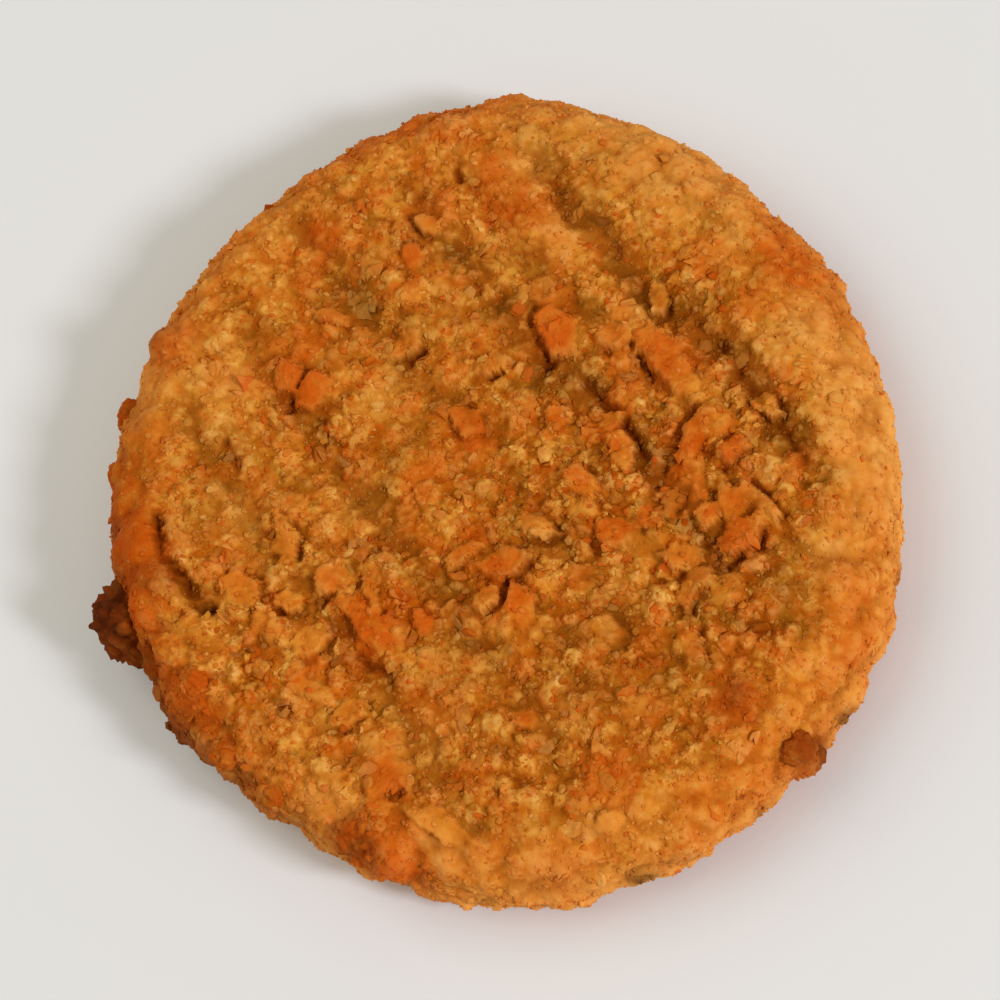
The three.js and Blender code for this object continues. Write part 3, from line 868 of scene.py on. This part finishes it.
def body_fields(points, angle, band, relief, triangles):
    """What colours the body, each from 0 to 1.

    Painted shade lies in fine and wide dips with splits and grooves, and painted highlights on the
    crests that stand over both. Toasting is the red of flakes, patches, the lip and the rim's red
    sides. Olive-brown lies in patches, and as painted shade in grooves and wide dips. Burns are spots,
    and painted shade darkens two stretches of the edge; clouds of noise vary both.
    """
    splits, grooves, flake = relief["splits"], relief["grooves"], relief["flake"]
    fine = hollow_share(relief["height"], triangles, 5, 0.22)
    wide = hollow_share(relief["height"], triangles, 30, 0.5)
    lip = lip_share(angle, band)
    rim = rim_share(angle, band)
    golden = golden_and_painted_light_share(points, angle, band)
    cloud = 0.85 + 0.5 * rough_noise(points, 5.0, 81)
    broken = smooth_step(-0.5, 0.4, rough_noise(points, 2.8, 82))
    red_edge = cloud * smooth_step(1.1, 1.5, band) * sides_share(angle, RED_SIDES)
    low = smooth_step(11.5, 8.0, points[:, 2]) + smooth_step(7.5, 4.5, points[:, 2])
    # Painted shade down one side's lower edge and on the shoulder above it
    painted_shade_low_edge = low * side_share(angle, PAINTED_SHADE_LOW_EDGE)
    painted_shade_upper_edge = smooth_step(1.4, 1.75, band) * side_share(angle, PAINTED_SHADE_UPPER_EDGE)
    dark = cloud * (0.25 * painted_shade_low_edge + 0.3 * painted_shade_upper_edge + 0.2 * lip)
    toast = relief["red"] + patch_share(points, RED_PATCHES) + 0.6 * lip + red_edge
    # Olive-brown in patches, with painted shade in grooves and, below, in wide dips
    olive = patch_share(points, OLIVE_AND_PAINTED_SHADE_PATCHES) + 0.8 * grooves
    return dict(
        # Painted shade in fine and wide dips, splits and grooves, and a painted highlight on the crests
        # over them
        hollow=(0.06 + 0.21 * fine + 0.17 * wide + 0.3 * splits + 0.15 * grooves).clip(0, 1),
        crest=((-0.5 * fine - 0.1 * wide - 0.5 * lip) * (1 - 0.7 * flake)).clip(0, 1),
        toast=toast.clip(0, 1),
        flake=flake.clip(0, 1),
        olive=((0.4 + 0.6 * broken) * olive + 0.5 * wide).clip(0, 1),
        rim=rim,
        golden=golden,
        side=smooth_step(1.6, 2.2, band),
        burn=np.maximum(patch_share(points, BURNT_SPOTS), dark).clip(0, 1),
        tone=relief["tone"],
        variety=0.6 + 0.5 * coarse_share(points, angle, band) - 0.25 * golden,
    )


def make_body():
    """The patty's body: points, triangles, the fields that colour it, and its grid."""
    band, angle, triangles = closed_grid(TOP_CELLS, TOP_SHARE, LOWER_RINGS, BASE_CELLS)
    points, normals = smooth_skin(band, angle)
    relief = crust_relief(points, angle, band, crumb_layers())
    height = relief["height"] * mix(1, 0.12, smooth_step(2.6, 3.0, band))
    finished = points + normals * height[:, None]
    finished[:, 2] = np.maximum(finished[:, 2], 0.5 * BASE_LIFT)
    fields = body_fields(points, angle, band, relief, triangles)
    return finished, triangles, fields, band, angle


def make_lump(grid, lump):
    """One ball of crust: an ellipsoid on the skin with its own frame, along the rim, across it and out.

    Noise moves its skin in and out by up to a quarter of its smallest half size, and then crumbs
    and grains are piled on it, less high on a small ball.
    """
    band, angle, triangles = grid
    place, drop, size, out, toast, burn = lump
    skin, outward = skin_over(*np.array(place)[:, None])
    sideways = unit(np.array([-place[1], place[0], 0]))
    frame = np.array([sideways, np.cross(outward[0], sideways), outward[0]])
    polar = np.pi / 4 * band
    ball = np.stack([np.sin(polar) * np.cos(angle), np.sin(polar) * np.sin(angle), np.cos(polar)], -1)
    middle = skin[0] + (out - size[2]) * outward[0] - np.array([0, 0, drop])
    normals = unit(ball / size) @ frame
    points = middle + (ball * size) @ frame
    waves = 0.24 * min(size) * rough_noise(points, 0.7 * min(size), 71)
    points = points + waves[:, None] * normals
    crumbs, crumb_tone = crumb_pile(points, *BALL_CRUMB_PILE)
    grains, grain_tone = crumb_pile(points, *BALL_GRAIN_PILE)
    height = (0.7 * crumbs + 0.5 * grains) * min(1, min(size) / 3)
    points = points + (height - height.mean())[:, None] * normals
    points[:, 2] = np.maximum(points[:, 2], 0.5 * BASE_LIFT)
    cloud = rough_noise(points, 2.5, 74)
    fields = dict.fromkeys(("flake", "olive", "rim", "golden", "side"), np.zeros(len(points)))
    # Painted shade in the ball's dips
    fields["hollow"] = (0.1 + 0.4 * hollow_share(height, triangles, 4, 0.25)).clip(0, 1)
    fields["crest"] = np.full(len(points), 0.1)
    fields["toast"] = (toast + 0.3 * cloud).clip(0, 1)
    spots = patch_share(points, BURNT_SPOTS)
    fields["burn"] = np.maximum(burn * (1 + 0.6 * cloud), spots).clip(0, 1)
    fields["tone"] = 0.5 * crumb_tone + 0.5 * grain_tone
    fields["variety"] = np.ones(len(points))
    return points, fields


def make_lumps():
    """All balls of crust as one mesh: points, triangles, fields and flat map."""
    grid = closed_grid(LUMP_CELLS, LUMP_TOP_SHARE, LUMP_RINGS, LUMP_CELLS // 2)
    band, angle, triangles = grid
    lumps = [make_lump(grid, lump) for lump in LUMPS]
    points = np.concatenate([lump[0] for lump in lumps])
    fields = {name: np.concatenate([lump[1][name] for lump in lumps]) for name in lumps[0][1]}
    shifts = len(band) * np.arange(len(lumps))
    across = int(np.ceil(np.sqrt(len(lumps))))
    cells = np.stack([np.arange(len(lumps)) % across, np.arange(len(lumps)) // across], -1)
    flat_map = (body_map(triangles, band, angle) + cells[:, None]) / across
    return points, (triangles + shifts[:, None, None]).reshape(-1, 3), fields, flat_map.reshape(-1, 2)


def ball_shape(corners, profile):
    """A closed shape from the radius and height of each of its rings, with a pole at each end.

    Each ring is turned by half a step against the one above it.
    """
    radius, height = np.array(profile).T
    rings = len(profile) - 2
    step = np.arange(corners)
    angle = TAU * (step + 0.5 * np.arange(rings)[:, None]) / corners
    reach = radius[1:-1, None]
    level = np.broadcast_to(height[1:-1, None], angle.shape)
    sides = np.stack([reach * np.cos(angle), reach * np.sin(angle), level], -1).reshape(-1, 3)
    points = np.concatenate([[(0, 0, height[0])], sides, [(0, 0, height[-1])]])
    after = (step + 1) % corners
    bottom = 1 + (rings - 1) * corners
    triangles = [np.stack([0 * step, 1 + step, 1 + after], -1)]
    for start in range(1, bottom, corners):
        upper, upper_after = start + step, start + after
        lower, lower_after = upper + corners, upper_after + corners
        triangles.append(np.stack([upper, lower, upper_after], -1))
        triangles.append(np.stack([lower, lower_after, upper_after], -1))
    pole = np.full(corners, len(points) - 1)
    triangles.append(np.stack([pole, bottom + after, bottom + step], -1))
    return points, np.concatenate(triangles)


# The shapes of single bits, by the radius and height of their rings
GRAIN_SHAPE = ball_shape(4, [(0, 1), (1, 0), (0, -1)])
CRUMB_SHAPE = ball_shape(5, [(0, 1), (0.88, 0.45), (0.88, -0.45), (0, -1)])
LUMP_SHAPE = ball_shape(7, [(0, 1), (0.75, 0.7), (1, 0), (0.75, -0.7), (0, -1)])
CHIP_SHAPE = ball_shape(6, [(0, 1), (0.8, 0.95), (1, 0.4), (0.9, -0.7), (0, -1)])

# Loose bits baked onto the crust. For each kind: its shape, how many, the smallest and largest half
# length, length over width, thickness over width, how deep it is sunk as a share of its thickness,
# how uneven its outline and its corners are, and its seed
BITS = {
    "dust_crumbs": dict(
        shape=GRAIN_SHAPE,
        count=13000,
        lengths=(0.15, 0.28),
        stretch=(1.0, 1.5),
        flat=(0.6, 1.0),
        bed=(-0.2, 0.4),
        waves=0.1,
        rough=0.22,
        seed=101,
    ),
    "fine_crumbs": dict(
        shape=CRUMB_SHAPE,
        count=6500,
        lengths=(0.24, 0.40),
        stretch=(1.0, 1.6),
        flat=(0.5, 0.9),
        bed=(0.0, 0.6),
        waves=0.1,
        rough=0.22,
        seed=102,
    ),
    "crumbs": dict(
        shape=CRUMB_SHAPE,
        count=2600,
        lengths=(0.38, 0.62),
        stretch=(1.0, 1.7),
        flat=(0.45, 0.8),
        bed=(0.0, 0.6),
        waves=0.1,
        rough=0.22,
        seed=103,
    ),
    "coarse_crumbs": dict(
        shape=LUMP_SHAPE,
        count=300,
        lengths=(0.6, 1.0),
        stretch=(1.0, 1.7),
        flat=(0.4, 0.7),
        bed=(0.3, 0.8),
        waves=0.16,
        rough=0.2,
        seed=104,
    ),
    "chips": dict(
        shape=CHIP_SHAPE,
        count=160,
        lengths=(0.6, 1.1),
        stretch=(1.0, 1.8),
        flat=(0.3, 0.45),
        bed=(0.0, 0.6),
        waves=0.22,
        rough=0.2,
        seed=105,
    ),
    "burnt_crumbs": dict(
        shape=LUMP_SHAPE,
        count=240,
        lengths=(0.35, 0.7),
        stretch=(1.0, 1.5),
        flat=(0.6, 0.9),
        bed=(0.0, 0.7),
        waves=0.12,
        rough=0.2,
        seed=106,
    ),
}
BIT_TILT = 0.5


def scatter(skin, count, density, rng):
    """Random places on the body's triangles, as many for each square millimetre as density says.

    Gives each place, the skin's normal there and the body's fields, blended between corners.
    """
    points, triangles, fields, normals = skin
    a, b, c = points[triangles].transpose(1, 0, 2)
    area = np.linalg.norm(np.cross(b - a, c - a), axis=1) / 2
    weight = area * density[triangles].mean(1)
    chosen = triangles[rng.choice(len(triangles), count, p=weight / weight.sum())]
    corner = rng.dirichlet((1, 1, 1), count)
    place = (points[chosen] * corner[:, :, None]).sum(1)
    normal = unit((normals[chosen] * corner[:, :, None]).sum(1))
    blended = {name: (field[chosen] * corner).sum(1) for name, field in fields.items()}
    return place, normal, blended


def place_bits(shape, place, upward, along, sizes, waves, rough, rng):
    """Copies of a shape at places of the crust, each with its own frame, sizes and outline.

    The outline is one plus four random cosine waves round the upward direction, and each corner
    is then moved in or out at random.
    """
    points = shape[0]
    count = len(place)
    upward = unit(upward)
    along = unit(along - upward * (along * upward).sum(1, keepdims=True))
    frame = np.stack([along, np.cross(upward, along), upward], 1)
    angle = np.arctan2(points[:, 1], points[:, 0])
    outline = np.ones((count, len(points)))
    for lobes in (2, 3, 4, 5):
        strength = waves * rng.normal(size=(count, 1))
        outline += strength * np.cos(lobes * angle + TAU * rng.random((count, 1)))
    outline = outline.clip(0.5, 1.5) * rng.uniform(1 - rough, 1 + rough, outline.shape)
    local = points * sizes[:, None]
    local[:, :, :2] *= outline[:, :, None]
    local[:, :, 2] *= rng.uniform(1 - rough, 1 + rough, outline.shape)
    return place[:, None] + np.einsum("cpi,cij->cpj", local, frame)


def bit_fields(shape, fields, rng):
    """The colour fields of scattered bits: those of their place, with some changes.

    A bit gets painted shade below and a painted highlight on top, each has its own tone, three in ten
    are more toasted the higher their own random number is, and the lowest numbers make a bit paler.
    """
    points = shape[0]
    count = len(fields["tone"])
    spread = {name: np.repeat(field, len(points)) for name, field in fields.items()}
    # Painted shade on the lower part of each bit and a painted highlight on its top; the lowest own
    # numbers give pale crumbs
    below = 0.15 * smooth_step(0.3, -0.8, points[:, 2])
    above = 0.25 * smooth_step(0.2, 1.0, points[:, 2])
    own = rng.random((count, 1))
    spread["hollow"] = (0.7 * fields["hollow"][:, None] + below).ravel().clip(0, 1)
    spread["crest"] = (above + 0.3 * smooth_step(0.3, 0.0, own)).ravel().clip(0, 1)
    spread["toast"] = np.maximum(spread["toast"], np.repeat(smooth_step(0.7, 1.0, own), len(points)))
    spread["tone"] = np.repeat(rng.uniform(-0.3, 1.3, count), len(points))
    return spread


def repeat_triangles(shape, count):
    """The triangles of so many copies of a shape, each copy's after those of the last."""
    points, triangles = shape
    return (triangles + len(points) * np.arange(count)[:, None, None]).reshape(-1, 3)


def bit_densities(points, angle, band, fields):
    """How thickly each kind of bit lies on the crust.

    There are fewer bits on the base, the lip, flakes, golden crust and places painted light, and in
    deep hollows. The larger kinds keep to the coarse crust, and burnt ones to the burns and the painted
    shade of the edge.
    """
    base = mix(1.0, 0.3, smooth_step(2.5, 3.0, band))
    deep = smooth_step(0.6, 1.0, fields["hollow"])
    bare = (1 - 0.6 * lip_share(angle, band)) * (1 - 0.75 * fields["flake"]) * (1 - 0.7 * deep)
    everywhere = base * bare * (1 - 0.4 * fields["golden"])
    return dict(
        dust_crumbs=everywhere,
        fine_crumbs=everywhere,
        burnt_crumbs=smooth_step(0.6, 1, fields["burn"]),
        others=everywhere * (0.1 + coarse_share(points, angle, band)),
    )


def make_bits(skin, density, shape, count, lengths, stretch, flat, bed, waves, rough, seed):
    """One kind of loose bits: points, triangles and fields.

    Lengths are spread evenly by ratio between the smallest and the largest. Each bit is sunk along
    the skin's normal, leans away from it at random, and is turned at random round it.
    """
    rng = np.random.default_rng(seed)
    place, normal, fields = scatter(skin, count, density, rng)
    length = lengths[0] * (lengths[1] / lengths[0]) ** rng.random(count)
    width = length / rng.uniform(*stretch, count)
    thickness = width * rng.uniform(*flat, count)
    place -= normal * (thickness * rng.uniform(*bed, count))[:, None]
    upward = normal + BIT_TILT * rng.normal(size=normal.shape)
    along = np.cross(normal, rng.normal(size=normal.shape))
    sizes = np.stack([length, width, thickness], -1)
    points = place_bits(shape, place, upward, along, sizes, waves, rough, rng)
    return points.reshape(-1, 3), repeat_triangles(shape, count), bit_fields(shape, fields, rng)


def cell_map(groups, faces_each):
    """A flat map in which each crumb has a cell and each of its faces half a square of the cell."""
    across = int(np.ceil(np.sqrt(groups)))
    squares = int(np.ceil(np.sqrt(faces_each / 2)))
    group, face = np.divmod(np.arange(groups * faces_each), faces_each)
    square, half = np.divmod(face, 2)
    corner_x = group % across + (square % squares) / squares
    corner_y = group // across + (square // squares) / squares
    low, high = 0.1 / squares, 0.9 / squares
    lower = np.array([(low, low), (high - low, low), (low, high - low)])
    upper = np.array([(high, high), (2 * low, high), (high, 2 * low)])
    offsets = np.where(half[:, None, None] == 0, lower, upper)
    places = np.stack([corner_x, corner_y], -1)[:, None] + offsets
    return (places / across).reshape(-1, 2)


def make_piece(name, points, triangles, flat_map, fields, material, smooth):
    """Puts points in millimetres, triangles, a flat map and colour fields into a mesh object."""
    mesh = bpy.data.meshes.new(name)
    mesh.vertices.add(len(points))
    mesh.vertices.foreach_set("co", (points * MM).astype(np.float32).ravel())
    mesh.loops.add(triangles.size)
    mesh.loops.foreach_set("vertex_index", triangles.astype(np.int32).ravel())
    mesh.polygons.add(len(triangles))
    mesh.polygons.foreach_set("loop_start", np.arange(0, triangles.size, 3, dtype=np.int32))
    mesh.polygons.foreach_set("use_smooth", np.full(len(triangles), smooth))
    mesh.update(calc_edges=True)
    mesh.validate()
    mesh.uv_layers.new(name="OFBake").uv.foreach_set("vector", flat_map.astype(np.float32).ravel())
    for field, values in fields.items():
        attribute = mesh.attributes.new(field, "FLOAT", "POINT")
        attribute.data.foreach_set("value", values.astype(np.float32))
    mesh.materials.append(material)
    piece = bpy.data.objects.new(name, mesh)
    bpy.context.scene.collection.objects.link(piece)
    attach(piece, "root")
    return piece


def body_map(triangles, band, angle):
    """The body's flat map: the top fanned out over both shoulders on one disc, the base on another.

    The distance from a disc's middle is the length along the skin.
    """
    reach = np.interp(band, [0, 1, 2, 3], SKIN_LENGTHS) / SKIN_LENGTHS[-1]
    turn = np.stack([np.cos(angle), np.sin(angle)], -1)
    (top_middle, top_radius), (base_middle, base_radius) = FLAT_DISCS
    top_places = top_middle + top_radius * reach[:, None] * turn
    base_places = base_middle + base_radius * (4 - band)[:, None] * turn
    on_base = (band[triangles].min(1) > 2.999)[:, None, None]
    return np.where(on_base, base_places[triangles], top_places[triangles]).reshape(-1, 2)


def linear(colour):
    """An sRGB hex colour as linear red, green, blue and alpha."""
    parts = np.array([int(colour[i : i + 2], 16) for i in (1, 3, 5)]) / 255
    low, high = parts / 12.92, ((parts + 0.055) / 1.055) ** 2.4
    return (*np.where(parts <= 0.04045, low, high), 1.0)


def add_node(tree, kind, inputs=None, **settings):
    """Adds a node with its settings, and gives each input a value or a link to an output."""
    node = tree.nodes.new(kind)
    for name, value in settings.items():
        setattr(node, name, value)
    for name, value in (inputs or {}).items():
        if isinstance(value, bpy.types.NodeSocket):
            tree.links.new(value, node.inputs[name])
        else:
            node.inputs[name].default_value = value
    return node


def weighted_sum(tree, start, parts):
    """A starting value plus each value times its weight."""
    total = start
    for value, weight in parts:
        inputs = {0: value, 1: weight, 2: total}
        total = add_node(tree, "ShaderNodeMath", inputs, operation="MULTIPLY_ADD").outputs[0]
    return total


def crumb_crust():
    """Baked breadcrumb crust: fried or baked starch, dry, matt and granular.

    It gives golden crumbs that differ in tone, golden crust partly painted light, redder toasted tips,
    olive-brown gaps that are partly painted shade, painted shade in hollows, painted highlights on
    crests, a paler rim and nearly black burnt bits with painted shade along part of the edge, all by
    the fields that each piece carries.
    """
    material = bpy.data.materials.new("baked_crumb_crust")
    material.use_nodes = True
    tree = material.node_tree
    shader = tree.nodes["Principled BSDF"]
    place = add_node(tree, "ShaderNodeTexCoord").outputs["Object"]
    fields = {
        name: add_node(tree, "ShaderNodeAttribute", attribute_name=name).outputs["Fac"]
        for name in FIELDS
    }

    noise = {}
    for name, (size, detail) in NOISE_SIZES.items():
        inputs = {"Vector": place, "Scale": 1 / (size * MM), "Detail": detail, "Roughness": 0.6}
        noise[name] = add_node(tree, "ShaderNodeTexNoise", inputs).outputs["Fac"]

    # Broken crumbs: random cells of a space that noise of their own size bends
    cells = {}
    for name, size in CELL_SIZES.items():
        inputs = {"Vector": place, "Scale": 1 / (size * MM)}
        wave = add_node(tree, "ShaderNodeTexNoise", inputs).outputs["Color"]
        inputs = {0: wave, 1: (0.4 * size * MM,) * 3, 2: place}
        bent = add_node(tree, "ShaderNodeVectorMath", inputs, operation="MULTIPLY_ADD").outputs[0]
        inputs = {"Vector": bent, "Scale": 1 / (size * MM)}
        cells[name] = add_node(tree, "ShaderNodeTexVoronoi", inputs).outputs

    # What rises with noise: from where to where, and its least and greatest value
    rising = {}
    for name, source, low, high, least, most in (
        ("red_fleck", "fleck", 0.5, 0.6, 0.0, 0.45),
        ("red_blotch", "blotch", 0.48, 0.58, 0.0, 0.5),
        ("dull_cloud", "dull", 0.5, 0.62, 0.0, 0.45),
        ("toasted", "fleck", 0.3, 0.55, 0.444, 0.74),
        ("roughness", "grain", 0.3, 0.7, 0.55, 0.8),
    ):
        inputs = {"Value": noise[source], "From Min": low, "From Max": high}
        inputs.update({"To Min": least, "To Max": most})
        rising[name] = add_node(tree, "ShaderNodeMapRange", inputs).outputs[0]

    # The tone of the crumbs round its middle, and with it the place on the ramp of browning
    speckle = weighted_sum(
        tree,
        -0.5,
        [
            (fields["tone"], 0.13),
            (noise["grain"], 0.18),
            (cells["small"]["Color"], 0.1),
            (cells["large"]["Color"], 0.08),
            (noise["clump"], 0.43),
        ],
    )
    # The painted highlight, golden crust and painted light move it paler, olive and painted shade
    # darker
    mottle = weighted_sum(
        tree,
        0.5,
        [
            (speckle, fields["variety"]),
            (fields["golden"], 0.08),
            (fields["rim"], 0.03),
            (fields["crest"], 0.08),
            (fields["olive"], -0.08),
        ],
    )
    ramp = add_node(tree, "ShaderNodeValToRGB", {"Fac": mottle})
    stops = ramp.color_ramp.elements
    for _ in BROWNING[2:]:
        stops.new(0.5)
    for stop, (position, browned) in zip(stops, BROWNING):
        stop.position = position
        stop.color = linear(browned)

    # Colours laid over it, each by the product of a share and a strength
    colour = ramp.outputs["Color"]
    uneven = weighted_sum(tree, 1.0, [(fields["golden"], -0.4)])
    for above, share, strength in (
        ("#C65204", uneven, rising["red_fleck"]),
        ("#CC5808", uneven, rising["red_blotch"]),
        ("#94580C", uneven, rising["dull_cloud"]),
        # Golden crust, partly painted light
        ("#DE842E", fields["golden"], 0.35),
        ("#DA7C22", fields["rim"], 0.25),
        ("#F2A84E", fields["side"], 0.75),
        # Olive-brown, partly painted shade in grooves and dips
        ("#7E4C0C", fields["olive"], 0.58),
        ("#DC8024", fields["flake"], 0.38),
        # Painted highlight on crests and the tops of bits, and pale crumbs
        ("#F2BE6C", fields["crest"], 0.4),
        ("#C84E06", fields["toast"], rising["toasted"]),
        # Painted shade in hollows, splits, grooves and on the lower part of each bit
        ("#641E00", fields["hollow"], 0.85),
        # Burnt bits, and painted shade along one side's edge
        ("#32130A", fields["burn"], 0.95),
    ):
        shown = weighted_sum(tree, 0.0, [(share, strength)])
        inputs = {0: shown, 6: colour, 7: linear(above)}
        colour = add_node(tree, "ShaderNodeMix", inputs, data_type="RGBA").outputs[2]

    relief = weighted_sum(
        tree,
        0.0,
        [
            (noise["grain"], 1.0),
            (noise["pore"], 0.4),
            (cells["small"]["Distance"], -0.7),
            (cells["large"]["Distance"], -0.6),
        ],
    )
    inputs = {"Height": relief, "Strength": weighted_sum(tree, 0.0, [(uneven, 0.55)])}
    inputs["Distance"] = RELIEF_DEPTH * MM
    bump = add_node(tree, "ShaderNodeBump", inputs)
    tree.links.new(colour, shader.inputs["Base Color"])
    tree.links.new(rising["roughness"], shader.inputs["Roughness"])
    tree.links.new(bump.outputs["Normal"], shader.inputs["Normal"])
    shader.inputs["Specular IOR Level"].default_value = 0.05
    shader.inputs["Specular Tint"].default_value = linear("#F0B070")
    return material


def pale_floor():
    """Plain matt floor, painted off-white: it gives an even pale ground and takes soft shadows."""
    material = bpy.data.materials.new("off_white_floor")
    material.use_nodes = True
    shader = material.node_tree.nodes["Principled BSDF"]
    shader.inputs["Base Color"].default_value = linear("#E3E1DF")
    shader.inputs["Roughness"].default_value = 0.6
    corners = FLOOR_HALF * np.array([(-1, -1, 0), (1, -1, 0), (1, 1, 0), (-1, 1, 0)])
    mesh = bpy.data.meshes.new("floor")
    mesh.from_pydata(corners.tolist(), [], [(0, 1, 2, 3)])
    mesh.materials.append(material)
    floor = bpy.data.objects.new("floor", mesh)
    bpy.context.scene.collection.objects.link(floor)


def view_directions():
    """The photograph's directions: towards the camera, to the right and up, rolled about the view."""
    height, roll = np.radians(VIEW_HEIGHT), np.radians(VIEW_ROLL)
    towards = np.array([np.cos(height), 0, np.sin(height)])
    level = np.array([0, 1, 0])
    upright = np.array([-np.sin(height), 0, np.cos(height)])
    right = np.cos(roll) * level - np.sin(roll) * upright
    up = np.sin(roll) * level + np.cos(roll) * upright
    return towards, right, up


def make_camera(oval_middle):
    """A long lens whose width at the patty is what the photograph shows of it and round it."""
    towards, right, up = view_directions()
    target = np.array([*oval_middle, VIEW_MIDDLE_HEIGHT])
    target = target + VIEW_SHIFT[0] * right + VIEW_SHIFT[1] * up
    data = bpy.data.cameras.new("camera")
    data.sensor_width = SENSOR
    data.lens = SENSOR * VIEW_DISTANCE / VIEW_WIDTH
    camera = bpy.data.objects.new("camera", data)
    place = np.eye(4)
    place[:3, 0], place[:3, 1], place[:3, 2] = right, up, towards
    place[:3, 3] = (target + VIEW_DISTANCE * towards) * MM
    camera.matrix_world = Matrix(place)
    bpy.context.scene.collection.objects.link(camera)
    bpy.context.scene.camera = camera


def make_light(name, turn, height, distance, size, power, colour):
    """A square soft light that faces the patty from a turn and a height in degrees."""
    data = bpy.data.lights.new(name, "AREA")
    data.size = size
    data.energy = power
    data.color = linear(colour)[:3]
    light = bpy.data.objects.new(name, data)
    turn, height = np.radians(turn), np.radians(height)
    back = np.array([np.cos(height) * np.cos(turn), np.cos(height) * np.sin(turn), np.sin(height)])
    side = np.array([-np.sin(turn), np.cos(turn), 0])
    place = np.eye(4)
    place[:3, 0], place[:3, 1], place[:3, 2] = side, np.cross(back, side), back
    place[:3, 3] = back * distance
    light.matrix_world = Matrix(place)
    bpy.context.scene.collection.objects.link(light)


def soft_room(strength, colour):
    """Even light of one colour from all round, as from the pale walls of a room."""
    world = bpy.data.worlds.new("soft_room")
    bpy.context.scene.world = world
    world.use_nodes = True
    background = world.node_tree.nodes["Background"]
    background.inputs["Color"].default_value = linear(colour)
    background.inputs["Strength"].default_value = strength


def main():
    """Makes the body, its lumps and its loose bits, then the floor, the camera and the lights."""
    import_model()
    low, high = (np.array(corner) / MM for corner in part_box("patty"))

    points, triangles, fields, band, angle = make_body()
    lumps, lump_triangles, lump_fields, lump_map = make_lumps()
    ends = np.stack([points.min(0), points.max(0), lumps.min(0), lumps.max(0)])
    middle = (low + high) / 2 - (ends.min(0) + ends.max(0)) / 2
    move = np.array([middle[0], middle[1], 0])
    crust = crumb_crust()
    flat_map = body_map(triangles, band, angle)
    body = make_piece("patty_body", points + move, triangles, flat_map, fields, crust, True)
    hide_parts("patty")
    make_piece("rim_lumps", lumps + move, lump_triangles, lump_map, lump_fields, crust, True)

    skin = (points, triangles, fields, point_normals(points, triangles))
    densities = bit_densities(points, angle, band, fields)
    for name, kind in BITS.items():
        density = densities.get(name, densities["others"])
        bits, bit_triangles, own = make_bits(skin, density, **kind)
        bits[:, 2] = np.maximum(bits[:, 2], 0)
        flat_map = cell_map(kind["count"], len(kind["shape"][1]))
        make_piece(name, bits + move, bit_triangles, flat_map, own, crust, False)

    pale_floor()
    make_camera(move[:2])
    make_light("main_light", **MAIN_LIGHT)
    make_light("fill_light", **FILL_LIGHT)
    soft_room(**ROOM_LIGHT)
    bpy.context.scene.view_settings.view_transform = "Standard"


main()
